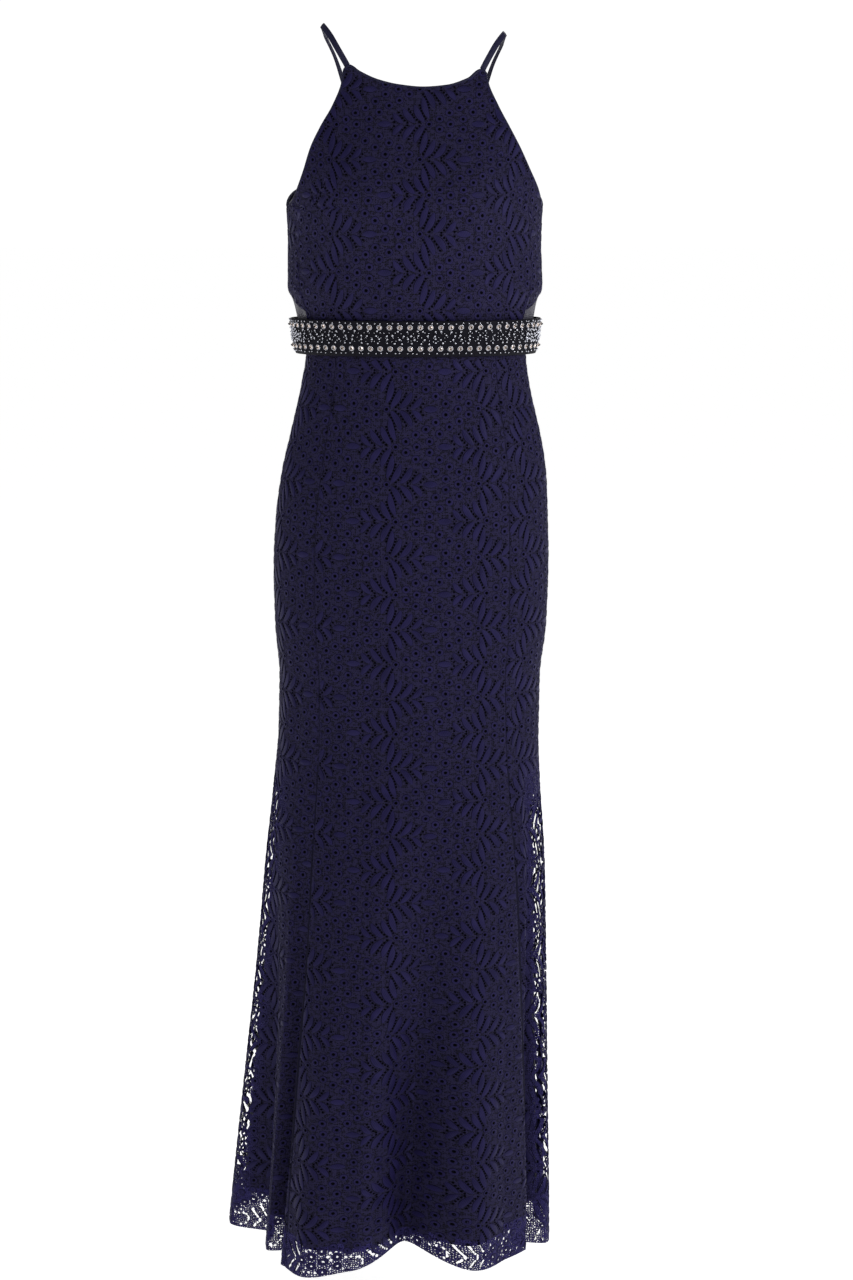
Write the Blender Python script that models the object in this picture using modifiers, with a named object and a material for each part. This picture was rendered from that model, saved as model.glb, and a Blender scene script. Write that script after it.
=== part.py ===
# A sleeveless floor-length lace evening dress with a beaded waistband, worn form, hollow.
# Metres, +Z up, front towards -Y. The origin is midway between the strap tops on the shoulders.
# A place on the cloth is an angle round the body and a height: 0 degrees is the centre front,
# 90 the side at +X, -90 the side at -X and 180 the centre back.

import math

import bpy
import numpy as np
from mathutils import Vector

# Thickness of each cloth and the spaces between pieces
LACE_WALL = 0.0015
LINING_WALL = 0.0012
BODICE_WALL = 0.0020
NET_WALL = 0.0012
BELT_WALL = 0.0024
SEAM_GAP = 0.0003
LINING_SPACE = 0.0034
LINING_SPACE_AT_WAIST = 0.0004
LINING_WAIST_BAND = 0.0120

# Heights
WAIST_Z = -0.3660
BELT_TOP_Z = -0.3255
BELT_BOTTOM_Z = -0.3655
UNDERARM_Z = -0.2000

# Sections of the worn dress from the shoulders to the hem
# height, half width, middle in x, depth of the front, depth of the back
SECTIONS = (
    (-0.000, 0.1500, 0.0010, 0.0300, 0.0600),
    (-0.045, 0.1500, 0.0010, 0.0560, 0.0780),
    (-0.090, 0.1500, 0.0010, 0.0830, 0.0900),
    (-0.140, 0.1490, 0.0010, 0.1070, 0.0980),
    (-0.190, 0.1465, 0.0010, 0.1200, 0.1010),
    (-0.240, 0.1445, 0.0010, 0.1170, 0.0980),
    (-0.292, 0.1455, 0.0015, 0.1080, 0.0930),
    (-0.304, 0.1400, 0.0015, 0.1055, 0.0915),
    (-0.328, 0.1347, 0.0020, 0.1000, 0.0880),
    (-0.366, 0.1262, 0.0025, 0.0900, 0.0850),
    (-0.403, 0.1314, 0.0018, 0.0910, 0.0990),
    (-0.452, 0.1425, 0.0018, 0.0950, 0.1150),
    (-0.500, 0.1522, 0.0002, 0.0980, 0.1240),
    (-0.550, 0.1570, -0.0022, 0.1000, 0.1270),
    (-0.610, 0.1593, -0.0033, 0.1000, 0.1260),
    (-0.680, 0.1574, -0.0038, 0.0990, 0.1220),
    (-0.740, 0.1517, -0.0050, 0.0980, 0.1180),
    (-0.800, 0.1519, -0.0063, 0.1000, 0.1190),
    (-0.863, 0.1558, -0.0083, 0.1060, 0.1260),
    (-0.957, 0.1643, -0.0104, 0.1220, 0.1420),
    (-1.082, 0.1719, -0.0145, 0.1450, 0.1660),
    (-1.203, 0.1798, -0.0203, 0.1670, 0.1880),
    (-1.327, 0.1878, -0.0262, 0.1880, 0.2080),
    (-1.420, 0.1930, -0.0310, 0.2020, 0.2220),
)

# The soft fullness of the two bust cups
CUP_X = 0.0720
CUP_Z = -0.1850
CUP_WIDTH = 0.0480
CUP_HEIGHT = 0.0520
CUP_RISE = 0.0090

# Folds of the skirt: angle, half width in degrees, depth at the hem (a ridge is negative), top
FOLDS = (
    (8.5, 21.0, 0.0700, -0.840),
    (-27.0, 13.0, -0.0150, -0.960),
    (33.0, 13.0, -0.0090, -0.960),
    (-46.5, 6.5, 0.0360, -0.800),
    (-54.0, 8.0, 0.0140, -0.850),
    (-67.0, 15.0, 0.0440, -0.870),
    (63.5, 7.0, 0.0300, -0.780),
    (73.0, 8.0, -0.0050, -0.960),
    (93.0, 12.0, 0.0180, -0.900),
    (112.0, 10.0, -0.0060, -0.880),
    (131.0, 9.0, 0.0300, -0.800),
    (150.0, 12.0, -0.0100, -0.900),
    (180.0, 21.0, 0.0450, -0.860),
    (-150.0, 12.0, -0.0120, -0.940),
    (-131.0, 9.0, 0.0320, -0.790),
    (-108.0, 10.0, 0.0130, -0.930),
)
FOLD_FULL_Z = -1.4200

# Lace hem and lining hem round the skirt: angle, height of the lace hem, height of the lining hem
HEMS = (
    (-180.0, -1.400, -1.364),
    (-130.0, -1.398, -1.360),
    (-90.0, -1.396, -1.356),
    (-60.0, -1.398, -1.362),
    (-30.0, -1.404, -1.374),
    (8.5, -1.384, -1.378),
    (33.0, -1.401, -1.374),
    (58.0, -1.400, -1.366),
    (74.0, -1.408, -1.358),
    (95.0, -1.399, -1.354),
    (130.0, -1.398, -1.360),
    (180.0, -1.400, -1.364),
)

# Princess seams of the skirt: height, angle of the left seam, angle of the right seam
PRINCESS = (
    (-0.366, -46.0, 46.0),
    (-0.490, -44.0, 45.0),
    (-0.660, -43.5, 45.5),
    (-0.910, -41.5, 50.5),
    (-1.220, -39.5, 56.5),
    (-1.400, -38.0, 59.0),
)
SIDE_SEAM = 90.0
BACK_SEAM = 180.0

# How far the lining falls clear of the lace at each side: height, left side, right side
LINING_CLEAR = (
    (-0.366, 0.0000, 0.0000),
    (-0.700, 0.0005, 0.0010),
    (-0.860, 0.0030, 0.0080),
    (-1.080, 0.0040, 0.0110),
    (-1.200, 0.0060, 0.0120),
    (-1.400, 0.0100, 0.0150),
)
LINING_CLEAR_SPREAD = 38.0
LINING_FOLD_SPREAD = (-2.0, -1.0, 0.0, 1.0, 2.0)

# The armhole edges of the bodice front: height, half width on the left, half width on the right
ARMHOLE = (
    (-0.046, 0.0785, 0.0795),
    (-0.061, 0.0804, 0.0818),
    (-0.087, 0.0905, 0.0930),
    (-0.110, 0.1040, 0.1055),
    (-0.134, 0.1160, 0.1185),
    (-0.159, 0.1243, 0.1305),
    (-0.179, 0.1320, 0.1400),
    (-0.190, 0.1370, 0.1435),
    (-0.200, 0.1463, 0.1463),
)
# The neckline: share of the way from the middle to the strap's outer edge, height
NECKLINE = (
    (-1.00, -0.0468),
    (-0.93, -0.0430),
    (-0.77, -0.0500),
    (-0.50, -0.0595),
    (-0.20, -0.0655),
    (0.10, -0.0680),
    (0.40, -0.0660),
    (0.72, -0.0580),
    (0.93, -0.0480),
    (1.00, -0.0500),
)
# The lower edge of the bodice and the side cut-out: angle from the front, height
CUTOUT = (
    (0.0, WAIST_Z),
    (63.0, WAIST_Z),
    (64.5, -0.3160),
    (72.0, -0.3120),
    (80.0, -0.3065),
    (86.0, -0.2995),
    (90.0, -0.2950),
)
# The upper edge of the back: angle from the front, height
BACK_TOP = (
    (90.0, -0.2000),
    (100.0, -0.1900),
    (120.0, -0.1780),
    (147.0, -0.1730),
    (165.0, -0.1830),
    (180.0, -0.1860),
)

# The belt: height, half width, middle in x, depth of the front, depth of the back
BELT = (
    (BELT_BOTTOM_Z, 0.1382, 0.0022, 0.0930, 0.0880),
    (BELT_TOP_Z, 0.1440, 0.0020, 0.1060, 0.0945),
)
CRYSTALS_IN_A_ROW = 66
CRYSTAL_RISE = 0.0016
CRYSTAL_RADIUS = 0.0030
CRYSTAL_ROWS_Z = (-0.3320, -0.3560)

# Straps, between their feet, on the side at +X: across, forward or back, height
STRAP_PATH = (
    (0.0850, -0.0400, -0.0270),
    (0.0945, -0.0260, -0.0110),
    (0.1030, -0.0040, 0.0000),
    (0.1010, 0.0220, -0.0090),
    (0.0900, 0.0460, -0.0340),
    (0.0760, 0.0660, -0.0800),
    (0.0650, 0.0820, -0.1300),
)
STRAP_FOOT_SHARE = 0.955
STRAP_FOOT_CLEAR = 0.0012
STRAP_BACK_ANGLE = 155.0
STRAP_LIFT_LEFT = 0.0030
STRAP_LIFT_RIGHT = -0.0060
STRAP_WIDTH = 0.0070
STRAP_WALL = 0.0016
STRAP_CREST = 0.0006
STRAP_STEPS = 22
STRAP_TILT = 0.35

# Mesh density
COLUMN_STEP = 0.0215
SKIRT_ROWS = 13
LINING_ROWS = 8
HEM_ROWS = 3
HEM_ROW_HEIGHT = 0.0180
BODICE_COLUMNS = 20
ROWS_ABOVE_UNDERARM = 6
ROWS_BELOW_UNDERARM = 5
BACK_COLUMNS = 9
BACK_ROWS = 8

# Gaps between the leaves of the lace, cut through where no lining is behind them
SLOT_WIDTH = 0.0050
SLOT_LENGTH = 0.0150
SLOT_LEAN = 0.0055
SLOT_WIDEST = 0.50
SLOT_REACH = 0.43
LONG_SLOT_LENGTH = 0.0240
SLOT_REPEAT = 5
SIDE_SLOT_REACH = 15.0
SIDE_SLOT_TOP_Z = -0.8400

# Concealed zip in the centre back
ZIP_HALF_WIDTH = 0.0025
ZIP_GAP = 0.0006
ZIP_SKIRT_ROWS = 2
ZIP_ROWS = 4
ZIP_WALL = 0.0014
ZIP_SUNK = 0.0003
SLIDER_SIZE = (0.0046, 0.0024, 0.0090)
PULL_WIDTH = 0.0032
PULL_LENGTH = 0.0180
PULL_WALL = 0.0010
EAR_WALL = 0.0008
EAR_HEIGHT = 0.0020
EAR_ROOT = 0.0010
EAR_LENGTH = 0.0036
SLIDER_DROP = 0.0070
SLIDER_ROUNDING = 0.0006
PIVOT_OUT = 0.0013
PULL_TOP = 0.0010
# The tab's outline under its hinge: share of its length, share of its width
PULL_OUTLINE = ((0.0, 1.0), (0.35, 0.72), (0.72, 1.0), (0.93, 0.80), (1.0, 0.40))

# How far apart the points are that give a normal: in degrees, and in metres of height
NORMAL_STEP = 0.05
NORMAL_STEP_Z = 0.001


# Smooth reading of a table

def smooth(table, column, x):
    """The table's column at x, as a curve through its rows."""
    xs = [row[0] for row in table]
    ys = [row[column] for row in table]
    if xs[0] > xs[-1]:
        xs.reverse()
        ys.reverse()
    x = min(max(x, xs[0]), xs[-1])
    i = min(int(np.searchsorted(xs, x, side="right")) - 1, len(xs) - 2)

    def slope(k):
        if k == 0 or k == len(xs) - 1:
            return 0.0
        left = (ys[k] - ys[k - 1]) / (xs[k] - xs[k - 1])
        right = (ys[k + 1] - ys[k]) / (xs[k + 1] - xs[k])
        return 0.0 if left * right <= 0 else 2 * left * right / (left + right)

    def end_slope(k, other):
        chord = (ys[i + 1] - ys[i]) / (xs[i + 1] - xs[i])
        return chord * 1.5 - other * 0.5 if k in (0, len(xs) - 1) else slope(k)

    width = xs[i + 1] - xs[i]
    s = (x - xs[i]) / width
    m0 = end_slope(i, slope(i + 1))
    m1 = end_slope(i + 1, slope(i))
    return (
        (2 * s**3 - 3 * s**2 + 1) * ys[i]
        + (s**3 - 2 * s**2 + s) * width * m0
        + (3 * s**2 - 2 * s**3) * ys[i + 1]
        + (s**3 - s**2) * width * m1
    )


def straight(table, column, x):
    """The table's column at x, with straight lines between its rows."""
    rows = sorted(table)
    return float(np.interp(x, [row[0] for row in rows], [row[column] for row in rows]))


def ease(x):
    x = min(max(x, 0.0), 1.0)
    return x * x * (3 - 2 * x)


def turn_between(a, b):
    """The shortest turn from angle a to angle b, in degrees."""
    return (b - a + 180) % 360 - 180


# The cloth's surface

def fold_depth(angle, z):
    """How far the folds take the skirt in towards the body at an angle and height."""
    depth = 0.0
    for middle, half_width, full, top in FOLDS:
        off = abs(turn_between(middle, angle)) / half_width
        if off < 1:
            grown = ease((top - z) / (top - FOLD_FULL_Z))
            depth += full * grown * (0.5 + 0.5 * math.cos(math.pi * off))
    return depth


def on_section(sections, angle, z):
    """A point on a section, and the direction out of it."""
    a, middle, front, back = (smooth(sections, k, z) for k in (1, 2, 3, 4))
    t = math.radians(angle)
    deep = front if math.cos(t) >= 0 else back
    return Vector((middle + a * math.sin(t), -deep * math.cos(t), z))


def worn_surface(angle, z):
    """A point of the dress's outer face."""
    p = on_section(SECTIONS, angle, z)
    if z < WAIST_Z:
        t = math.radians(angle)
        p -= Vector((math.sin(t), -math.cos(t), 0)) * float(fold_depth(angle, z))
    elif abs(angle) < SIDE_SEAM:
        side = CUP_X if p.x > 0 else -CUP_X
        off = ((p.x - side) / CUP_WIDTH) ** 2 + ((z - CUP_Z) / CUP_HEIGHT) ** 2
        other = ((p.x + side) / CUP_WIDTH) ** 2 + ((z - CUP_Z) / CUP_HEIGHT) ** 2
        p.y -= CUP_RISE * (math.exp(-off) + math.exp(-other))
    return p


def belt_surface(angle, z):
    return on_section(BELT, angle, z)


def inward(surface, angle, z, depth):
    """The point of a surface at an angle and height, moved in by a depth along its normal."""
    across = surface(angle + NORMAL_STEP, z) - surface(angle - NORMAL_STEP, z)
    rise = NORMAL_STEP_Z
    up = surface(angle, z + rise) - surface(angle, z - rise)
    normal = across.cross(up).normalized()
    return surface(angle, z) - normal * depth


def degrees_of(length, z):
    """The angle that a short length takes up round the dress at a height."""
    return math.degrees(length / smooth(SECTIONS, 1, z))


# Walls from a grid of places

def wall(name, places, surface, outset, thickness, holes=None, raised=None):
    """A closed wall over a grid of (angle, height) places, from left to right and top to bottom.

    holes gives, for a cell, the four corners of a slot as shares of the cell. raised gives,
    for a grid point, how far its outer point stands up, over an inside that is plain."""
    rows, columns = len(places), len(places[0])
    points, faces = [], []

    def both(angle, z, lift=0.0):
        points.append(inward(surface, angle, z, outset - lift))
        points.append(inward(surface, angle, z, outset + thickness))
        return len(points) - 2

    grid = [
        [both(*places[r][c], raised(r, c) if raised else 0.0) for c in range(columns)]
        for r in range(rows)
    ]

    def quad(a, b, c, d):
        faces.append((a, d, c, b))
        if not raised:
            faces.append((a + 1, b + 1, c + 1, d + 1))

    for r in range(rows - 1):
        for c in range(columns - 1):
            corners = grid[r][c], grid[r][c + 1], grid[r + 1][c + 1], grid[r + 1][c]
            slot = holes(r, c) if holes else None
            if not slot:
                quad(*corners)
                continue
            inner = []
            for u, v in slot:
                weights = (1 - u) * (1 - v), u * (1 - v), u * v, (1 - u) * v
                for side in (0, 1):
                    parts = (points[i + side] * w for w, i in zip(weights, corners))
                    points.append(sum(parts, Vector()))
                inner.append(len(points) - 2)
            for k in range(4):
                n = (k + 1) % 4
                quad(corners[k], corners[n], inner[n], inner[k])
                faces.append((inner[n], inner[k], inner[k] + 1, inner[n] + 1))

    def rim(line):
        for a, b in zip(line, line[1:]):
            faces.append((a, b, b + 1, a + 1))

    def plain_rim(line):
        faces.append((*line, line[-1] + 1, line[0] + 1))

    if raised:
        for a, b, c, d in zip(grid[0], grid[0][1:], grid[-1][1:], grid[-1]):
            faces.append((a + 1, b + 1, c + 1, d + 1))
    rim(grid[0])
    rim(grid[-1][::-1])
    for line in ([row[-1] for row in grid], [row[0] for row in grid[::-1]]):
        (plain_rim if raised else rim)(line)
    return solid(name, points, faces)


def solid(name, points, faces):
    used = sorted({i for face in faces for i in face})
    number = {i: k for k, i in enumerate(used)}
    kept = [tuple(points[i]) for i in used]
    mesh = bpy.data.meshes.new(name)
    mesh.from_pydata(kept, [], [tuple(number[i] for i in face) for face in faces])
    mesh.update()
    mesh.shade_smooth()
    mesh.set_sharp_from_angle(angle=math.radians(40))
    return add(name, mesh)


def add(name, mesh):
    piece = bpy.data.objects.new(name, mesh)
    dress.objects.link(piece)
    mesh.materials.append(material_for(name))
    return piece


def material_for(name):
    look = next(look for start, look in LOOKS.items() if name.startswith(start))
    label, colour, roughness, metallic = look
    found = bpy.data.materials.get(label)
    if found:
        return found
    made = bpy.data.materials.new(label)
    made.use_nodes = True
    made.diffuse_color = (*colour, 1)
    shader = made.node_tree.nodes["Principled BSDF"]
    shader.inputs["Base Color"].default_value = (*colour, 1)
    shader.inputs["Roughness"].default_value = roughness
    shader.inputs["Metallic"].default_value = metallic
    return made


# What each piece's name starts with: material, colour, roughness, metallic
LOOKS = {
    "bodice": ("navy lace on lining", (0.013, 0.012, 0.035), 0.60, 0.0),
    "skirt_lining": ("dark lining", (0.007, 0.006, 0.018), 0.45, 0.0),
    "skirt": ("navy lace", (0.015, 0.013, 0.040), 0.60, 0.0),
    "mesh": ("grey net", (0.050, 0.048, 0.070), 0.70, 0.0),
    "belt": ("beaded band", (0.120, 0.115, 0.150), 0.30, 0.5),
    "strap": ("navy binding", (0.014, 0.015, 0.040), 0.50, 0.0),
    "zip_strip": ("zip tape", (0.010, 0.010, 0.028), 0.60, 0.0),
    "zip": ("dark zip metal", (0.050, 0.050, 0.080), 0.35, 1.0),
}


# Skirt

def hem_arc_columns(first, last, step):
    """Angles from first to last, evenly spaced along the folded hem."""
    hem = HEMS[0][1]
    fine = [float(a) for a in np.linspace(first, last, 400)]
    line = [worn_surface(a, hem) for a in fine]
    run = np.concatenate([[0], np.cumsum([(q - p).length for p, q in zip(line, line[1:])])])
    count = max(2, round(run[-1] / step))
    return [float(a) for a in np.interp(np.linspace(0, run[-1], count + 1), run, fine)]


def seam_angle(seam, z):
    """A seam's angle at a height: a name of a princess seam, or a fixed angle."""
    if seam == "left":
        return smooth(PRINCESS, 1, z)
    if seam == "right":
        return smooth(PRINCESS, 2, z)
    return seam


def skirt_columns(left, right):
    """The places of a panel's columns at the hem, as shares of the way from seam to seam."""
    hem = HEMS[0][1]
    first, last = seam_angle(left, hem), seam_angle(right, hem)
    return [(a - first) / (last - first) for a in hem_arc_columns(first, last, COLUMN_STEP)]


def skirt_place(left, right, share, z, seam_half):
    """A place on a panel between two seams, half a seam's gap in from each."""
    gap = degrees_of(seam_half, z)
    first, last = seam_angle(left, z) + gap, seam_angle(right, z) - gap
    return first + (last - first) * share


def down_the_skirt(top, hem, rows, hem_rows):
    """Heights from the waist to the hem, with low rows along the hem."""
    band = hem + hem_rows * HEM_ROW_HEIGHT
    upper = [top + (band - top) * k / rows for k in range(rows + 1)]
    return upper + [band - (k + 1) * HEM_ROW_HEIGHT for k in range(hem_rows)]


def slot_in(width, height, length, reverse):
    """A leaning slot's corners as shares of a cell of the given size, if the cell has room."""
    half = 0.5 * SLOT_WIDTH / width
    if half > SLOT_WIDEST / 2:
        return None
    high = min(0.5 * length / height, SLOT_REACH)
    shift = min(SLOT_LEAN / width, SLOT_REACH - half)
    shift = shift if reverse else -shift
    return (
        (0.5 - half - shift, 0.5 - high),
        (0.5 + half - shift, 0.5 - high),
        (0.5 + half + shift, 0.5 + high),
        (0.5 - half + shift, 0.5 + high),
    )


def skirt_panel(name, left, right, back_gap):
    shares = skirt_columns(left, right)
    places = []
    hem_shares = [smooth(HEMS, 1, skirt_place(left, right, s, HEMS[0][1], 0)) for s in shares]
    heights = [down_the_skirt(WAIST_Z - SEAM_GAP, hem, SKIRT_ROWS, HEM_ROWS) for hem in hem_shares]
    for row in range(SKIRT_ROWS + HEM_ROWS + 1):
        line = []
        for column, share in enumerate(shares):
            z = heights[column][row]
            angle = skirt_place(left, right, share, z, SEAM_GAP / 2)
            line.append((past_zip(angle, z, back_gap), z))
        places.append(line)

    def holes(row, column):
        if not 0 < column < len(shares) - 2:
            return None
        angle, z = places[row][column]
        below = places[row + 1][column]
        across = (worn_surface(*places[row][column + 1]) - worn_surface(angle, z)).length
        if row >= SKIRT_ROWS:
            step = (column + (row - SKIRT_ROWS)) % SLOT_REPEAT
            if step in (0, 3):
                return None
            return slot_in(across, z - below[1], SLOT_LENGTH, row % 2 == 0)
        middle = SIDE_SEAM if angle > 0 else -SIDE_SEAM
        if z < SIDE_SLOT_TOP_Z and abs(angle - middle) < SIDE_SLOT_REACH:
            return slot_in(across, z - below[1], LONG_SLOT_LENGTH, row % 2 == 0)
        return None

    return wall(name, places, worn_surface, 0.0, LACE_WALL, holes)


def zip_end():
    """The height of the zip's lower end, on a row of the skirt's back panels."""
    heights = down_the_skirt(WAIST_Z - SEAM_GAP, HEMS[0][1], SKIRT_ROWS, HEM_ROWS)
    return heights[ZIP_SKIRT_ROWS]


def past_zip(angle, z, back_gap):
    """Keeps the edge of a back piece clear of the zip strip."""
    if not back_gap:
        return angle
    beside_zip = z > zip_end() - SEAM_GAP
    room = 180 - degrees_of(ZIP_HALF_WIDTH + ZIP_GAP if beside_zip else SEAM_GAP / 2, z)
    return max(min(angle, room), -room)


def lining_surface(angle, z):
    """The lining's outer face: inside the lace, with the same folds a little wider."""
    left = abs(turn_between(-SIDE_SEAM, angle)) / LINING_CLEAR_SPREAD
    right = abs(turn_between(SIDE_SEAM, angle)) / LINING_CLEAR_SPREAD
    clear = ease(1 - left) * smooth(LINING_CLEAR, 1, z)
    clear += ease(1 - right) * smooth(LINING_CLEAR, 2, z)
    fold = max(fold_depth(angle + side, z) for side in LINING_FOLD_SPREAD)
    t = math.radians(angle)
    fallen = min(1.0, (WAIST_Z - z) / LINING_WAIST_BAND)
    space = LINING_SPACE_AT_WAIST + (LINING_SPACE - LINING_SPACE_AT_WAIST) * fallen
    inset = LACE_WALL + space + clear + float(fold)
    return on_section(SECTIONS, angle, z) - Vector((math.sin(t), -math.cos(t), 0)) * inset


def skirt_lining(name):
    panels = ((-BACK_SEAM, -SIDE_SEAM), (-SIDE_SEAM, "left"), ("left", "right"),
              ("right", SIDE_SEAM), (SIDE_SEAM, BACK_SEAM))
    columns = []
    for left, right in panels:
        shares = skirt_columns(left, right)
        columns += [(left, right, s) for s in shares[:-1]]
    columns.append((SIDE_SEAM, BACK_SEAM, 1.0))
    places = []
    for row in range(-1, LINING_ROWS + 1):
        line = []
        for left, right, share in columns:
            hem = smooth(HEMS, 2, skirt_place(left, right, share, HEMS[0][2], 0))
            top = WAIST_Z - LINING_WAIST_BAND
            z = top + (hem - top) * row / LINING_ROWS if row >= 0 else WAIST_Z - SEAM_GAP
            angle = skirt_place(left, right, share, z, 0)
            line.append((past_zip(angle, z, True), z))
        places.append(line)
    return wall(name, places, lining_surface, 0.0, LINING_WALL)


# Bodice

def armhole_angle(side, z):
    """Where the bodice front ends at a height: the side seam below the armhole."""
    if z <= UNDERARM_Z:
        return SIDE_SEAM
    share = smooth(ARMHOLE, 1 if side < 0 else 2, z) / smooth(SECTIONS, 1, z)
    return min(SIDE_SEAM, math.degrees(math.asin(min(1.0, share))))


def bodice_front(name):
    cut_angles = [row[0] for row in CUTOUT]
    plain = np.linspace(0, cut_angles[1], BODICE_COLUMNS // 2 - 1)
    half = sorted(set([round(float(a), 3) for a in plain] + cut_angles[2:]))
    bottom_angles = [-a for a in half[:0:-1]] + half
    places = []
    for row in range(ROWS_ABOVE_UNDERARM + ROWS_BELOW_UNDERARM + 1):
        line = []
        for bottom_angle in bottom_angles:
            share = bottom_angle / SIDE_SEAM
            low = straight(CUTOUT, 1, abs(bottom_angle))
            high = smooth(NECKLINE, 1, share)
            below = row - ROWS_ABOVE_UNDERARM
            z = high + (UNDERARM_Z - high) * row / ROWS_ABOVE_UNDERARM
            if below > 0:
                z = UNDERARM_Z + (low - UNDERARM_Z) * below / ROWS_BELOW_UNDERARM
            edge = armhole_angle(bottom_angle, z) - degrees_of(SEAM_GAP / 2, z)
            line.append((share * edge, z))
        places.append(line)
    return wall(name, places, worn_surface, 0.0, BODICE_WALL)


def bodice_back(name, side):
    cut = [(180 - angle, z) for angle, z in CUTOUT[::-1]]
    kept = [angle for angle, z in cut if angle < cut[-1][0]]
    angles = kept + list(np.linspace(kept[-1], BACK_SEAM, BACK_COLUMNS)[1:])
    if side < 0:
        angles = [-a for a in angles[::-1]]
    places = []
    for row in range(BACK_ROWS + 1):
        line = []
        for angle in angles:
            high = smooth(BACK_TOP, 1, abs(angle))
            low = straight(cut, 1, abs(angle))
            z = high + (low - high) * row / BACK_ROWS
            near = SIDE_SEAM + degrees_of(SEAM_GAP / 2, z)
            kept_angle = math.copysign(max(abs(angle), near), angle)
            line.append((past_zip(kept_angle, z, True), z))
        places.append(line)
    return wall(name, places, worn_surface, 0.0, BODICE_WALL)


def mesh_inset(name, side):
    front = [(angle, z) for angle, z in CUTOUT if angle > CUTOUT[1][0]]
    around = front + [(180 - angle, z) for angle, z in front[-2::-1]]
    if side < 0:
        around = [(-angle, z) for angle, z in around[::-1]]
    rows = 2
    places = []
    for row in range(rows + 1):
        line = []
        for angle, top in around:
            high = top - SEAM_GAP
            z = high + (WAIST_Z - high) * row / rows
            line.append((angle, z))
        places.append(line)
    for line in places:
        trim = degrees_of(SEAM_GAP, line[0][1])
        line[0] = (line[0][0] + trim, line[0][1])
        line[-1] = (line[-1][0] - trim, line[-1][1])
    return wall(name, places, worn_surface, 0.0, NET_WALL)


# Belt

def belt(name):
    columns = CRYSTALS_IN_A_ROW * 2
    ends = 180 - degrees_of(SEAM_GAP, BELT_TOP_Z)
    upper, lower = CRYSTAL_ROWS_Z
    heights = (BELT_TOP_Z, upper + CRYSTAL_RADIUS, upper, upper - CRYSTAL_RADIUS,
               lower + CRYSTAL_RADIUS, lower, lower - CRYSTAL_RADIUS, BELT_BOTTOM_Z)
    places = [[(-ends + 2 * ends * c / columns, z) for c in range(columns + 1)] for z in heights]

    def raised(row, column):
        return CRYSTAL_RISE if heights[row] in CRYSTAL_ROWS_Z and column % 2 else 0.0

    return wall(name, places, belt_surface, 0.0, BELT_WALL, None, raised)


# Straps

def strap_line(side):
    """The middle line of a strap, from the neckline over the shoulder to the back."""
    foot_z = smooth(NECKLINE, 1, side * STRAP_FOOT_SHARE) + STRAP_FOOT_CLEAR
    foot_angle = side * STRAP_FOOT_SHARE * armhole_angle(side, foot_z)
    back_z = smooth(BACK_TOP, 1, STRAP_BACK_ANGLE) + STRAP_FOOT_CLEAR
    path = [inward(worn_surface, foot_angle, foot_z, BODICE_WALL / 2)]
    lift = STRAP_LIFT_LEFT if side < 0 else STRAP_LIFT_RIGHT
    path += [Vector((side * x, y, z + lift)) for x, y, z in STRAP_PATH]
    path.append(inward(worn_surface, side * STRAP_BACK_ANGLE, back_z, BODICE_WALL / 2))
    run = [0.0]
    for p, q in zip(path, path[1:]):
        run.append(run[-1] + (q - p).length)
    table = [(s, *p) for s, p in zip(run, path)]
    return [Vector([smooth(table, k, run[-1] * i / STRAP_STEPS) for k in (1, 2, 3)])
            for i in range(STRAP_STEPS + 1)]


def strap(name, side):
    """A flat ribbon, lightly crowned, that lies on the shoulder."""
    line = strap_line(side)
    crown, half, wall_half = STRAP_CREST, STRAP_WIDTH / 2, STRAP_WALL / 2
    ribbon = ((-half, wall_half), (0, wall_half + crown), (half, wall_half),
              (half, -wall_half), (-half, -wall_half))
    points, faces = [], []
    for i, p in enumerate(line):
        along = (line[min(i + 1, STRAP_STEPS)] - line[max(i - 1, 0)]).normalized()
        turn = i / STRAP_STEPS
        out = Vector((side * 0.45, math.sin(math.pi * (turn - 0.5) * 0.9), STRAP_TILT))
        across = along.cross(out).normalized()
        out = across.cross(along).normalized()
        points += [p + across * u + out * v for u, v in ribbon]
    ring = len(ribbon)
    for i in range(STRAP_STEPS):
        for k in range(ring):
            a, b = i * ring + k, i * ring + (k + 1) % ring
            faces.append((a, b, b + ring, a + ring))
    faces.append(tuple(range(ring - 1, -1, -1)))
    faces.append(tuple(STRAP_STEPS * ring + k for k in range(ring)))
    return solid(name, points, faces)


# Zip

def zip_strip(name):
    """The closed line of the zip, flush between the two back halves."""
    places = []
    top, end = smooth(BACK_TOP, 1, BACK_SEAM), zip_end() + ZIP_GAP
    heights = list(np.linspace(top, WAIST_Z, BACK_ROWS + 1))
    heights += list(np.linspace(WAIST_Z, end, ZIP_ROWS + 1))[1:]
    for z in map(float, heights):
        half = degrees_of(ZIP_HALF_WIDTH, z)
        places.append([(180 - half, z), (180, z), (180 + half, z)])
    return wall(name, places, worn_surface, ZIP_SUNK, ZIP_WALL)


def box(name, size, middle):
    bpy.ops.mesh.primitive_cube_add(size=1, location=middle)
    piece = bpy.context.object
    piece.name = name
    piece.scale = size
    bpy.ops.object.transform_apply(location=False, rotation=False, scale=True)
    return piece


def move_to(piece, collection):
    for old in list(piece.users_collection):
        old.objects.unlink(piece)
    collection.objects.link(piece)


def zip_pivot():
    """The hinge of the pull tab, on the slider at the top of the zip."""
    z = smooth(BACK_TOP, 1, BACK_SEAM) - SLIDER_DROP
    face = worn_surface(BACK_SEAM, z).y + SEAM_GAP + SLIDER_SIZE[1]
    return Vector((worn_surface(BACK_SEAM, z).x, face + PIVOT_OUT, z))


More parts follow.
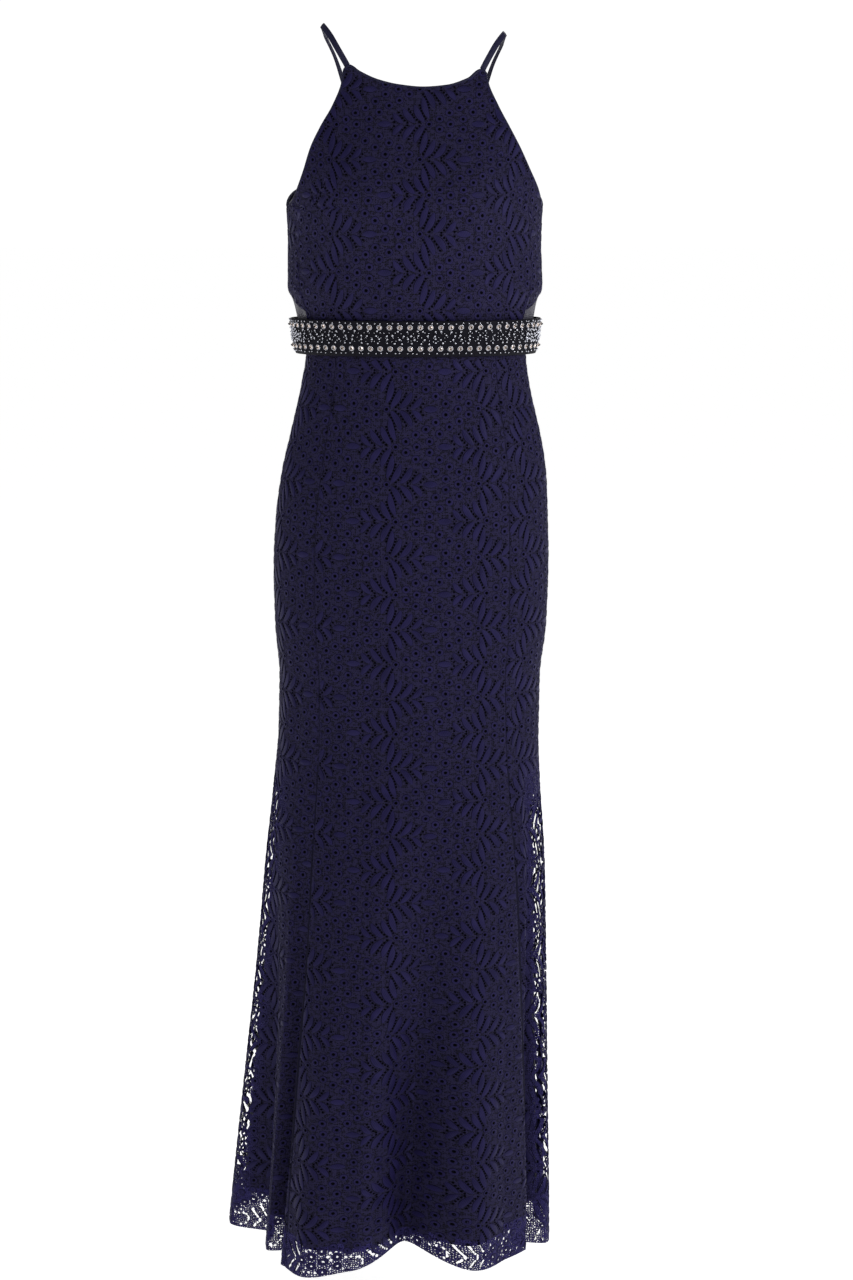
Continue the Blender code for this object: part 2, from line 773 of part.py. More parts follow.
def zip_slider(name):
    """The slider's body with two ears that hold the pull tab between them."""
    pivot = zip_pivot()
    face = pivot.y - PIVOT_OUT
    body = box(name, SLIDER_SIZE, (pivot.x, face - SLIDER_SIZE[1] / 2, pivot.z))
    bevel = body.modifiers.new("rounded edges", "BEVEL")
    bevel.width = SLIDER_ROUNDING
    bevel.segments = 2
    for side in (-1, 1):
        across = side * (PULL_WIDTH / 2 + SEAM_GAP + EAR_WALL / 2)
        middle = (pivot.x + across, face + EAR_HEIGHT / 2 - EAR_ROOT / 2, pivot.z)
        ear = box("slider ear", (EAR_WALL, EAR_HEIGHT + EAR_ROOT, EAR_LENGTH), middle)
        ear.hide_render = True
        ear.display_type = "WIRE"
        move_to(ear, cutters)
        join = body.modifiers.new("ear", "BOOLEAN")
        join.operation = "UNION"
        join.solver = "EXACT"
        join.object = ear
    move_to(body, dress)
    body.data.materials.append(material_for(name))
    return body


def zip_pull(name):
    """A flat drop-shaped tab that hangs from its hinge; its origin is on the hinge."""
    pivot = zip_pivot()
    sections = [(PULL_TOP, 0.55)] + [(-PULL_LENGTH * down, share) for down, share in PULL_OUTLINE]
    points, faces = [], []
    for z, share in sections:
        x, y = PULL_WIDTH / 2 * share, PULL_WALL / 2
        points += [Vector((-x, -y, z)), Vector((x, -y, z)), Vector((x, y, z)), Vector((-x, y, z))]
    for i in range(len(sections) - 1):
        for k in range(4):
            a, b = i * 4 + k, i * 4 + (k + 1) % 4
            faces.append((a, a + 4, b + 4, b))
    faces.append((0, 1, 2, 3))
    last = 4 * (len(sections) - 1)
    faces.append((last + 3, last + 2, last + 1, last))
    piece = solid(name, points, faces)
    piece.location = pivot
    return piece


# Build

for old in list(bpy.data.objects):
    bpy.data.objects.remove(old, do_unlink=True)

dress = bpy.data.collections.new("evening dress")
cutters = bpy.data.collections.new("cutters")
bpy.context.scene.collection.children.link(dress)
bpy.context.scene.collection.children.link(cutters)

bodice_front("bodice_front")
for side_name, side in (("left", -1), ("right", 1)):
    bodice_back("bodice_back_" + side_name, side)
    mesh_inset("mesh_inset_" + side_name, side)
    strap("strap_" + side_name, side)
belt("belt")
skirt_panel("skirt_back_left", -BACK_SEAM, -SIDE_SEAM, True)
skirt_panel("skirt_side_left", -SIDE_SEAM, "left", False)
skirt_panel("skirt_front", "left", "right", False)
skirt_panel("skirt_side_right", "right", SIDE_SEAM, False)
skirt_panel("skirt_back_right", SIDE_SEAM, BACK_SEAM, True)
skirt_lining("skirt_lining")
zip_strip("zip_strip")
zip_slider("zip_slider")
zip_pull("zip_pull")
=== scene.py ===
import math

import bpy
import numpy as np
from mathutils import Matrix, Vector


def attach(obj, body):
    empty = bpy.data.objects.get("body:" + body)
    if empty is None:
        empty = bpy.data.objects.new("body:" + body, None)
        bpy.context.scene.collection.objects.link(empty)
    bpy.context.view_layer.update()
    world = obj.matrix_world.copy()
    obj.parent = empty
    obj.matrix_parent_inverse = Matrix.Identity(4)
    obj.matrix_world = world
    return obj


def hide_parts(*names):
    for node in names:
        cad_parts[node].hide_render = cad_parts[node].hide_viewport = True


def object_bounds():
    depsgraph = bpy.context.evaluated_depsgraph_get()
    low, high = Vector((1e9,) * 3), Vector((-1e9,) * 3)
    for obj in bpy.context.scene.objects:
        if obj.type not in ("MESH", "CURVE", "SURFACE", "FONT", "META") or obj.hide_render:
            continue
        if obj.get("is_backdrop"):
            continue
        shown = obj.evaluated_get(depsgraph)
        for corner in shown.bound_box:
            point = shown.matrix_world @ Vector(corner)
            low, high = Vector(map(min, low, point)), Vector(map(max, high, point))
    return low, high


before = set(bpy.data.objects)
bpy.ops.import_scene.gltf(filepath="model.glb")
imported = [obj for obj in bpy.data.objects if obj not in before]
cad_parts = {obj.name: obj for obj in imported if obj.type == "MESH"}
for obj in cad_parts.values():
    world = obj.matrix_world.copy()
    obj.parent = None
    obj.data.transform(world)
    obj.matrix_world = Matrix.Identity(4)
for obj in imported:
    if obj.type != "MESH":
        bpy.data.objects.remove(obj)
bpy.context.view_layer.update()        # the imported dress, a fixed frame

# Sleeveless evening dress in corded navy lace with a beaded waistband, worn form, no wearer.
# A place on the cloth is an angle round the body and a height: 0 is the centre front,
# 90 the side at +X, 180 the centre back. The tables repeat the dress's own form.

form = {
    "waistZ": -0.3660,
    "beltTopZ": -0.3255,
    "beltBottomZ": -0.3655,
    "underarmZ": -0.2000,
    "sideSeam": 90.0,
    "backSeam": 180.0,
    "hemZ": -1.4000,
    # half width of the zip's opening, and the space left beside it
    "zipHalf": 0.0025,
    "zipClear": 0.0006,
    # height, half width, middle in x, depth of the front, depth of the back
    "sections": (
        (-0.000, 0.1500, 0.0010, 0.0300, 0.0600),
        (-0.045, 0.1500, 0.0010, 0.0560, 0.0780),
        (-0.090, 0.1500, 0.0010, 0.0830, 0.0900),
        (-0.140, 0.1490, 0.0010, 0.1070, 0.0980),
        (-0.190, 0.1465, 0.0010, 0.1200, 0.1010),
        (-0.240, 0.1445, 0.0010, 0.1170, 0.0980),
        (-0.292, 0.1455, 0.0015, 0.1080, 0.0930),
        (-0.304, 0.1400, 0.0015, 0.1055, 0.0915),
        (-0.328, 0.1347, 0.0020, 0.1000, 0.0880),
        (-0.366, 0.1262, 0.0025, 0.0900, 0.0850),
        (-0.403, 0.1314, 0.0018, 0.0910, 0.0990),
        (-0.452, 0.1425, 0.0018, 0.0950, 0.1150),
        (-0.500, 0.1522, 0.0002, 0.0980, 0.1240),
        (-0.550, 0.1570, -0.0022, 0.1000, 0.1270),
        (-0.610, 0.1593, -0.0033, 0.1000, 0.1260),
        (-0.680, 0.1574, -0.0038, 0.0990, 0.1220),
        (-0.740, 0.1517, -0.0050, 0.0980, 0.1180),
        (-0.800, 0.1519, -0.0063, 0.1000, 0.1190),
        (-0.863, 0.1558, -0.0083, 0.1060, 0.1260),
        (-0.957, 0.1643, -0.0104, 0.1220, 0.1420),
        (-1.082, 0.1719, -0.0145, 0.1450, 0.1660),
        (-1.203, 0.1798, -0.0203, 0.1670, 0.1880),
        (-1.327, 0.1878, -0.0262, 0.1880, 0.2080),
        (-1.420, 0.1930, -0.0310, 0.2020, 0.2220),
    ),
    "cupX": 0.0720,
    "cupZ": -0.1850,
    "cupWidth": 0.0480,
    "cupHeight": 0.0520,
    "cupRise": 0.0090,
    # angle, half width in degrees, depth at the hem (a ridge is negative), top
    "folds": (
        (8.5, 21.0, 0.0700, -0.840),
        (-27.0, 13.0, -0.0150, -0.960),
        (33.0, 13.0, -0.0090, -0.960),
        (-46.5, 6.5, 0.0360, -0.800),
        (-54.0, 8.0, 0.0140, -0.850),
        (-67.0, 15.0, 0.0440, -0.870),
        (63.5, 7.0, 0.0300, -0.780),
        (73.0, 8.0, -0.0050, -0.960),
        (93.0, 12.0, 0.0180, -0.900),
        (112.0, 10.0, -0.0060, -0.880),
        (131.0, 9.0, 0.0300, -0.800),
        (150.0, 12.0, -0.0100, -0.900),
        (180.0, 21.0, 0.0450, -0.860),
        (-150.0, 12.0, -0.0120, -0.940),
        (-131.0, 9.0, 0.0320, -0.790),
        (-108.0, 10.0, 0.0130, -0.930),
    ),
    "foldFullZ": -1.4200,
    # angle, height of the lace hem, height of the lining hem
    "hems": (
        (-180.0, -1.400, -1.364),
        (-130.0, -1.398, -1.360),
        (-90.0, -1.396, -1.356),
        (-60.0, -1.398, -1.362),
        (-30.0, -1.404, -1.374),
        (8.5, -1.384, -1.378),
        (33.0, -1.401, -1.374),
        (58.0, -1.400, -1.366),
        (74.0, -1.408, -1.358),
        (95.0, -1.399, -1.354),
        (130.0, -1.398, -1.360),
        (180.0, -1.400, -1.364),
    ),
    # height, angle of the left princess seam, angle of the right one
    "princess": (
        (-0.366, -46.0, 46.0),
        (-0.490, -44.0, 45.0),
        (-0.660, -43.5, 45.5),
        (-0.910, -41.5, 50.5),
        (-1.220, -39.5, 56.5),
        (-1.400, -38.0, 59.0),
    ),
    # how far the lining falls clear of the lace: height, left side, right side
    "liningClear": (
        (-0.366, 0.0000, 0.0000),
        (-0.700, 0.0005, 0.0010),
        (-0.860, 0.0030, 0.0080),
        (-1.080, 0.0040, 0.0110),
        (-1.200, 0.0060, 0.0120),
        (-1.400, 0.0100, 0.0150),
    ),
    # how wide to each side it falls clear, in degrees; the lace's wall and the space behind it;
    # and how much the lining draws in below the waist, over what height
    "liningClearSpan": 38.0,
    "laceWall": 0.0015,
    "laceToLining": 0.0004,
    "liningDraw": 0.0030,
    "liningDrawHeight": 0.0120,
    # height, half width of the bodice front at the left armhole, at the right one
    "armhole": (
        (-0.046, 0.0785, 0.0795),
        (-0.061, 0.0804, 0.0818),
        (-0.087, 0.0905, 0.0930),
        (-0.110, 0.1040, 0.1055),
        (-0.134, 0.1160, 0.1185),
        (-0.159, 0.1243, 0.1305),
        (-0.179, 0.1320, 0.1400),
        (-0.190, 0.1370, 0.1435),
        (-0.200, 0.1463, 0.1463),
    ),
    # share of the way from the middle to the strap's outer edge, height
    "neckline": (
        (-1.00, -0.0468),
        (-0.93, -0.0430),
        (-0.77, -0.0500),
        (-0.50, -0.0595),
        (-0.20, -0.0655),
        (0.10, -0.0680),
        (0.40, -0.0660),
        (0.72, -0.0580),
        (0.93, -0.0480),
        (1.00, -0.0500),
    ),
    # angle from the front, height of the bodice's lower edge
    "cutout": (
        (0.0, -0.3660),
        (63.0, -0.3660),
        (64.5, -0.3160),
        (72.0, -0.3120),
        (80.0, -0.3065),
        (86.0, -0.2995),
        (90.0, -0.2950),
    ),
    # angle from the front, height of the back's upper edge
    "backTop": (
        (90.0, -0.2000),
        (100.0, -0.1900),
        (120.0, -0.1780),
        (147.0, -0.1730),
        (165.0, -0.1830),
        (180.0, -0.1860),
    ),
    # height, half width, middle in x, depth of the front, depth of the back
    "belt": (
        (-0.3655, 0.1382, 0.0022, 0.0930, 0.0880),
        (-0.3255, 0.1440, 0.0020, 0.1060, 0.0945),
    ),
}
seamGap = 0.0003


def readTable(table, column, x):
    # the table's column at x, as a smooth curve through its rows
    rows = np.array(sorted(table), float)
    xs, ys = rows[:, 0], rows[:, column]
    chord = np.diff(ys) / np.diff(xs)
    inner = np.zeros(len(xs))
    product = chord[:-1] * chord[1:]
    both = np.where(product > 0, chord[:-1] + chord[1:], 1.0)
    inner[1:-1] = np.where(product > 0, 2 * product / both, 0.0)
    slope = inner.copy()
    slope[0] = 1.5 * chord[0] - 0.5 * inner[1]
    slope[-1] = 1.5 * chord[-1] - 0.5 * inner[-2]
    x = np.clip(x, xs[0], xs[-1])
    i = np.clip(np.searchsorted(xs, x, side="right") - 1, 0, len(xs) - 2)
    width = xs[i + 1] - xs[i]
    s = (x - xs[i]) / width
    return (
        (2 * s**3 - 3 * s**2 + 1) * ys[i]
        + (s**3 - 2 * s**2 + s) * width * slope[i]
        + (3 * s**2 - 2 * s**3) * ys[i + 1]
        + (s**3 - s**2) * width * slope[i + 1]
    )


def straightTable(table, column, x):
    rows = np.array(sorted(table), float)
    return np.interp(x, rows[:, 0], rows[:, column])


def ease(x):
    x = np.clip(x, 0.0, 1.0)
    return x * x * (3 - 2 * x)


def turn(a, b):
    return (b - a + 180) % 360 - 180


def bell(x):
    # a soft hump, 1 at 0 and 0 from 1 on
    return np.where(np.abs(x) < 1, 0.5 + 0.5 * np.cos(np.pi * np.clip(x, -1, 1)), 0.0)


def foldDepth(angle, z):
    depth = np.zeros(np.broadcast(angle, z).shape)
    for middle, halfWidth, full, top in form["folds"]:
        grown = ease((top - z) / (top - form["foldFullZ"]))
        depth = depth + full * grown * bell(turn(middle, angle) / halfWidth)
    return depth


def onSection(sections, angle, z):
    halfWidth, middle, front, back = (readTable(sections, k, z) for k in (1, 2, 3, 4))
    t = np.radians(angle)
    deep = np.where(np.cos(t) >= 0, front, back)
    return np.stack([middle + halfWidth * np.sin(t), -deep * np.cos(t), z + 0 * t], axis=-1)


def outward(angle):
    t = np.radians(angle)
    return np.stack([np.sin(t), -np.cos(t), 0 * t], axis=-1)


def wornSurface(angle, z):
    # the outer face of the dress
    angle, z = np.broadcast_arrays(np.asarray(angle, float), np.asarray(z, float))
    p = onSection(form["sections"], angle, z)
    skirt = (z < form["waistZ"])[..., None]
    p = p - np.where(skirt, outward(angle) * foldDepth(angle, z)[..., None], 0.0)
    high = ((z - form["cupZ"]) / form["cupHeight"]) ** 2
    cups = sum(np.exp(-((p[..., 0] - x) / form["cupWidth"]) ** 2 - high)
               for x in (form["cupX"], -form["cupX"]))
    onCups = (z >= form["waistZ"]) & (np.abs(angle) < form["sideSeam"])
    p[..., 1] -= np.where(onCups, form["cupRise"] * cups, 0.0)
    return p


def liningSurface(angle, z):
    # the lining's outer face: it hangs inside the skirt's folds and falls clear at the sides
    angle, z = np.broadcast_arrays(np.asarray(angle, float), np.asarray(z, float))
    clear = 0.0
    for side, column in ((-form["sideSeam"], 1), (form["sideSeam"], 2)):
        beside = ease(1 - np.abs(turn(side, angle)) / form["liningClearSpan"])
        clear = clear + beside * readTable(form["liningClear"], column, z)
    fold = np.max([foldDepth(angle + aside, z) for aside in (-2, -1, 0, 1, 2)], axis=0)
    fallen = np.minimum(1.0, (form["waistZ"] - z) / form["liningDrawHeight"])
    inset = form["laceWall"] + form["laceToLining"] + form["liningDraw"] * fallen + clear + fold
    return onSection(form["sections"], angle, z) - outward(angle) * inset[..., None]


def beltSurface(angle, z):
    return onSection(form["belt"], np.asarray(angle, float), np.asarray(z, float))


def unit(v):
    return v / np.linalg.norm(v, axis=-1, keepdims=True)


def normalOf(surface, angle, z):
    aside, higher = 0.05, 0.001    # small steps, in degrees and in metres
    across = surface(angle + aside, z) - surface(angle - aside, z)
    up = surface(angle, z + higher) - surface(angle, z - higher)
    return unit(np.cross(across, up))


def runAlong(line):
    # how far along a line of points each one is
    return np.concatenate([[0], np.cumsum(np.linalg.norm(np.diff(line, axis=0), axis=1))])


def degreesOf(length, z):
    return np.degrees(length / readTable(form["sections"], 1, z))


def armholeAngle(side, z):
    share = readTable(form["armhole"], 1 if side < 0 else 2, z)
    share = share / readTable(form["sections"], 1, z)
    angle = np.degrees(np.arcsin(np.clip(share, 0, 1)))
    return np.where(z <= form["underarmZ"], form["sideSeam"], angle)


def seamAngle(seam, z):
    if seam in ("left", "right"):
        return readTable(form["princess"], 1 if seam == "left" else 2, z)
    return seam + 0 * z


# Cloth: each panel is a grid over its share of the way across and down, worn on a surface

skirtLace = {
    "repeat": 0.105,          # one repeat across, in metres
    "fullHeight": 0.0874,     # one repeat down where the lace lies unshortened
    "mirrorShift": -0.0102,   # the right-pointing frond's root, from the left-pointing one's
    # repeat number, height of a left-pointing frond's root; they close up a little towards the hem
    "heights": (
        (-2.0, -0.298), (-1.0, -0.382), (0.0, -0.4659), (1.0, -0.5500), (2.0, -0.6328),
        (3.0, -0.7128), (4.0, -0.7926), (5.0, -0.8711), (6.0, -0.9477), (7.0, -1.0235),
        (8.0, -1.0990), (9.0, -1.1710), (10.0, -1.2429), (11.0, -1.3142), (12.0, -1.3850),
        (13.0, -1.4560),
    ),
}
bodiceLace = dict(skirtLace, heights=(
    (-2.0, 0.046), (-1.0, -0.031), (0.0, -0.1085), (1.0, -0.1859), (2.0, -0.2713),
    (3.0, -0.3560), (4.0, -0.4400),
))


def heightOf(lace, v):
    rows = np.array(lace["heights"])
    return np.interp(v, rows[:, 0], rows[:, 1])


def repeatAt(lace, z):
    rows = np.array(lace["heights"])[::-1]
    return np.interp(z, rows[:, 1], rows[:, 0])


def readGrid(grid, row, column):
    # the grid's value at a fractional row and column
    row = np.clip(row, 0, grid.shape[0] - 1)
    column = np.clip(column, 0, grid.shape[1] - 1)
    r = np.minimum(row.astype(int), grid.shape[0] - 2)
    c = np.minimum(column.astype(int), grid.shape[1] - 2)
    a, b = row - r, column - c
    if grid.ndim == 3:
        a, b = a[..., None], b[..., None]
    upper = grid[r, c] * (1 - b) + grid[r, c + 1] * b
    lower = grid[r + 1, c] * (1 - b) + grid[r + 1, c + 1] * b
    return upper * (1 - a) + lower * a


# how a panel is measured out: points along its edges, heights and shares of the way across, how
# far past its edges each goes, the place at which its reach is read, and the steps of the way back
laying = {
    "edgePoints": 41, "rows": 110, "pastEdge": 0.002, "columns": 401, "overhang": 0.3,
    "reachColumn": 50, "frondReach": 0.06, "step": 0.002,
}
# a panel's edge turns in a little towards its seam: how deep and how wide
edgeRoll = {"deep": 0.0009, "wide": 0.0022}


def layOut(panel):
    # runs the lace's across coordinate over the panel, from its grain line, and keeps the way back
    edge = np.linspace(0, 1, laying["edgePoints"])
    top = float(np.max(panel["top"](edge))) + laying["pastEdge"]
    low = float(np.min(panel["hem"](edge))) - laying["pastEdge"]
    zs = np.linspace(top, low, laying["rows"])
    shares = np.linspace(-laying["overhang"], 1 + laying["overhang"], laying["columns"])
    left, right = panel["left"](zs), panel["right"](zs)
    angle = left[:, None] + (right - left)[:, None] * shares[None]
    z = zs[:, None] + 0 * angle
    p = panel["grainSurface"](angle, z)
    run = np.zeros(angle.shape)
    run[:, 1:] = np.cumsum(np.linalg.norm(np.diff(p, axis=1), axis=2), axis=1)
    grain = panel["grain"](zs)
    for k in range(len(zs)):
        run[k] -= np.interp((grain[k] - left[k]) / (right[k] - left[k]), shares, run[k])
    ends = [laying["reachColumn"], -laying["reachColumn"]]
    reach = float(np.abs(run[:, ends]).max()) + laying["frondReach"]
    us = np.arange(-reach, reach, laying["step"])
    back = np.array([np.interp(us, run[k], shares) for k in range(len(zs))])
    panel.update(zs=zs, shares=shares, run=run, us=us, back=back)


def readLaid(panel, kept, column, z):
    # one of the tables kept for a laid-out panel, at a column of it and a height
    zs = panel["zs"]
    return readGrid(panel[kept], (zs[0] - z) / (zs[0] - zs[-1]) * (len(zs) - 1), column)


def gridShares(rows, columns, first=0.0):
    # share of the way across and of the way down at every point of a grid
    share = np.linspace(first, 1, columns + 1)[None] + np.zeros((rows + 1, 1))
    down = np.linspace(0, 1, rows + 1)[:, None] + np.zeros((1, columns + 1))
    return share, down


def spread(panel, rows, columns):
    # the panel's outer and inner faces
    share, down = gridShares(rows, columns)
    top, hem = panel["top"](share), panel["hem"](share)
    z = top + (hem - top) * down
    left, right = panel["left"](z), panel["right"](z)
    angle = left + (right - left) * share
    width = np.abs(right - left) / degreesOf(1.0, z)
    fromEdge = np.minimum(share, 1 - share) * width
    roll = panel.get("roll", edgeRoll["deep"]) * np.exp(-(fromEdge / edgeRoll["wide"]) ** 2)
    n = normalOf(panel["surface"], angle, z)
    outer = panel["surface"](angle, z) + n * (creases(angle, z) - roll)[..., None]
    shares = panel["shares"]
    column = (share - shares[0]) / (shares[-1] - shares[0]) * (len(shares) - 1)
    across = readLaid(panel, "run", column, z)
    down = -repeatAt(panel["lace"], z) * panel["lace"]["fullHeight"]
    panel.update(angle=angle, z=z, normals=n, outer=outer, inner=outer - n * panel["thickness"],
                 uv=np.stack([across, down], axis=-1))


def shellFaces(outer, inner, uv, cells, solid=None):
    # closed shell over the grid's chosen cells, cut along the line where solid crosses zero
    rows, columns = cells.shape
    number = np.arange((rows + 1) * (columns + 1)).reshape(rows + 1, columns + 1)
    good = np.ones(number.shape, bool) if solid is None else solid > 0
    count = good[:-1, :-1].astype(int) + good[:-1, 1:] + good[1:, :-1] + good[1:, 1:]
    full = cells & (count == 4)
    mixed = cells & (count > 0) & (count < 4)
    points = [outer.reshape(-1, 3)]
    insides = [inner.reshape(-1, 3)]
    places = [uv.reshape(-1, 2)]
    r, c = np.nonzero(full)
    faces = np.stack([number[r, c], number[r + 1, c], number[r + 1, c + 1], number[r, c + 1]], 1)
    faces = faces.tolist()
    rims = []
    padded = np.pad(cells, 1)
    # the cell's corners in order, and the step to the cell beyond the side that leaves each
    corners = ((0, 0), (1, 0), (1, 1), (0, 1))
    beyond = ((0, -1), (1, 0), (0, 1), (-1, 0))
    for side in range(4):
        (r0, c0), (r1, c1) = corners[side], corners[(side + 1) % 4]
        dr, dc = beyond[side]
        edge = full & ~padded[1 + dr:1 + dr + rows, 1 + dc:1 + dc + columns]
        r, c = np.nonzero(edge)
        rims += np.stack([number[r + r0, c + c0], number[r + r1, c + c1]], 1).tolist()
    crossings, madeOuter, madeInner, madeUv = {}, [], [], []

    def crossing(p, q):
        key = (p, q) if p < q else (q, p)
        if key not in crossings:
            a, b = solid[key[0]], solid[key[1]]
            w = min(max(a / (a - b), 0.02), 0.98)    # a little way off the grid's own points
            for made, grid in ((madeOuter, outer), (madeInner, inner), (madeUv, uv)):
                made.append(grid[key[0]] * (1 - w) + grid[key[1]] * w)
            crossings[key] = number.size + len(crossings)
        return crossings[key]

    for r, c in zip(*np.nonzero(mixed)):
        around = [(int(r + dr), int(c + dc)) for dr, dc in corners]
        ring, lastOut = [], None
        for side in range(4):
            p, q = around[side], around[(side + 1) % 4]
            dr, dc = beyond[side]
            open_ = not padded[1 + r + dr, 1 + c + dc]
            start = int(number[p]) if good[p] else None
            if good[p]:
                ring.append(start)
            if good[p] != good[q]:
                x = crossing(p, q)
                if good[q]:
                    if lastOut is not None:
                        rims.append((lastOut, x))
                        lastOut = None
                    else:
                        firstIn = x
                    if open_:
                        rims.append((x, int(number[q])))
                else:
                    lastOut = x
                    if open_:
                        rims.append((start, x))
                ring.append(x)
            elif good[p] and open_:
                rims.append((start, int(number[q])))
        if lastOut is not None:
            rims.append((lastOut, firstIn))
        faces.append(ring)
    if madeOuter:
        points.append(np.array(madeOuter))
        insides.append(np.array(madeInner))
        places.append(np.array(madeUv))
    points, insides, places = (np.concatenate(x) for x in (points, insides, places))
    return points, insides, places, faces, rims


def wholeFaces(outer, inner, uv):
    # a closed shell over every cell of a grid, with none of it sheer
    return (*shellFaces(outer, inner, uv, np.ones((len(outer) - 1, len(outer[0]) - 1), bool)), 0.0)


def makePiece(name, points, faces, uv, materials, slots=None, smooth=True):
    # one object, which carries the cloth's own coordinates for its materials
    mesh = bpy.data.meshes.new(name)
    mesh.from_pydata(points.tolist(), [], faces)
    mesh.update()
    corners = np.zeros(len(mesh.loops), int)
    mesh.loops.foreach_get("vertex_index", corners)
    layer = mesh.uv_layers.new(name="cloth")
    layer.data.foreach_set("uv", uv[corners].astype(np.float32).ravel())
    for material in materials:
        mesh.materials.append(material)
    if slots is not None:
        mesh.polygons.foreach_set("material_index", slots)
    if smooth:
        mesh.shade_smooth()
    piece = bpy.data.objects.new(name, mesh)
    bpy.context.scene.collection.objects.link(piece)
    return piece


def clothMesh(name, shells, materials, insideMaterial=0):
    # one object from several shells: points, points inside, places, faces, rims, how sheer each is
    verts, uvs, polygons, slots, sheer = [], [], [], [], []
    for points, insides, places, faces, rims, isSheer in shells:
        used = np.unique(np.array([i for face in faces for i in face], int))
        new = np.full(len(points), -1)
        new[used] = np.arange(len(used)) + sum(len(v) for v in verts)
        gap = len(used)
        verts += [points[used], insides[used]]
        uvs += [places[used]] * 2
        sheer += [np.broadcast_to(isSheer, len(points))[used]] * 2
        for face in faces:
            outerFace = [int(new[i]) for i in face]
            polygons += [outerFace, [i + gap for i in reversed(outerFace)]]
            slots += [0, insideMaterial]
        for a, b in rims:
            a, b = int(new[a]), int(new[b])
            polygons.append([b, a, a + gap, b + gap])
            slots.append(0)
    piece = makePiece(name, np.concatenate(verts), polygons, np.concatenate(uvs), materials, slots)
    share = piece.data.attributes.new("sheer", "FLOAT", "POINT")
    share.data.foreach_set("value", np.concatenate(sheer).astype(np.float32))
    piece.data.set_sharp_from_angle(angle=math.radians(55))
    return piece


def ofDress(pieces, node=None):
    # the pieces are worn as part of the dress, and the named node of the frame, if any, is hidden
    for piece in pieces:
        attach(piece, "dress")
    if node:
        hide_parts(node)


def refine(grid, down, across):
    # the same grid with each cell parted, its new points on the cell's own flat surface
    rows = np.linspace(0, grid.shape[0] - 1, (grid.shape[0] - 1) * down + 1)
    columns = np.linspace(0, grid.shape[1] - 1, (grid.shape[1] - 1) * across + 1)
    return readGrid(grid, *np.meshgrid(rows, columns, indexing="ij"))


# Lace: one frond, drawn from its root towards +x in millimetres, and repeated by a glide:
# every other frond points the other way, half a repeat further down

frond = {
    # start, end, bulge towards the tip, half width: the leaves above the frond's axis
    "leaves": (
        ((5.4, 2.3), (15.9, 23.6), 1.5, 4.6),
        ((15.7, 1.6), (28.4, 19.6), 1.5, 4.6),
        ((29.2, 1.3), (39.4, 13.6), 1.1, 4.1),
    ),
    "spineLeaf": ((0.4, 7.6), (6.6, 33.4), 1.2, 4.4),
    "tipLeaf": ((41.6, 0.0), (57.2, 0.0), 0.0, 4.9),
    # first hole, last hole, bulge, holes: the rows of holes between the leaves
    "holes": (
        ((3.6, 6.6), (10.4, 23.4), 0.9, 6),
        ((10.6, 2.4), (22.4, 18.6), 1.3, 6),
        ((23.8, 1.6), (33.4, 14.4), 1.1, 5),
        ((38.6, 2.6), (41.4, 6.6), 0.2, 2),
    ),
    "holeRadius": 1.35,
    "slitRadius": 1.95,
    # holes of the bold net between the rings: pitch, radius and wander
    "netHoles": (6.4, 2.25, 1.1),
    # rings in the field behind the root, above its axis or on it
    "rings": ((-11.7, 6.3), (-23.9, 0.0), (-22.7, 14.2), (-38.2, 6.3), (-34.1, 20.5),
              (-49.5, 15.1)),
    "ringRadius": 5.5,
    "ringHole": 1.75,
    "leafRise": 0.42,
    "sunk": -0.20,
    # how far behind its root and how far past it a frond reaches, in metres
    "reach": (-0.056, 0.062),
    # how far inside the panel's sides the fronds stop
    "margin": 0.004,
    # the holes in the bold net stay this far from leaves and rings, and a leaf counts as so wide
    "netClear": 0.0006,
    "leafShare": 0.8,
}


def bowed(start, end, bulge, steps):
    # points along a leaf or a row of holes, bowed towards the frond's tip
    s = np.linspace(0, 1, steps)[:, None]
    start, end = np.array(start), np.array(end)
    along = unit(end - start)
    side = np.array([along[1], -along[0]])
    return start + (end - start) * s + side * bulge * np.sin(np.pi * s)


def leafShape(start, end, bulge, halfWidth, stations=7):
    # a pointed leaf with a corded edge: points (x, y, height), faces, band of each face
    middle = bowed(start, end, bulge, stations)
    along = unit(np.gradient(middle, axis=0))
    side = np.stack([-along[:, 1], along[:, 0]], 1)
    s = np.linspace(0, 1, stations)
    half = halfWidth * np.clip(np.sin(np.pi * (0.04 + 0.92 * s)), 0, 1) ** 0.62
    across = (-1.0, -0.78, 0.0, 0.78, 1.0)
    rise = (frond["sunk"], frond["leafRise"], 0.62 * frond["leafRise"], frond["leafRise"],
            frond["sunk"])
    points, faces, bands = [], [], []
    for k in range(stations):
        for a, h in zip(across, rise):
            x, y = middle[k] + side[k] * half[k] * a
            ends = 0.3 if k in (0, stations - 1) else 1.0
            points.append((x, y, h * ends))
    # the leaf's outer bands are band 2, the painted shade at the cord's foot, and its middle ones
    # band 1, its body
    for k in range(stations - 1):
        for j in range(4):
            a = k * 5 + j
            faces.append((a, a + 5, a + 6, a + 1))
            bands.append(1 if j in (1, 2) else 2)
    return np.array(points), faces, bands


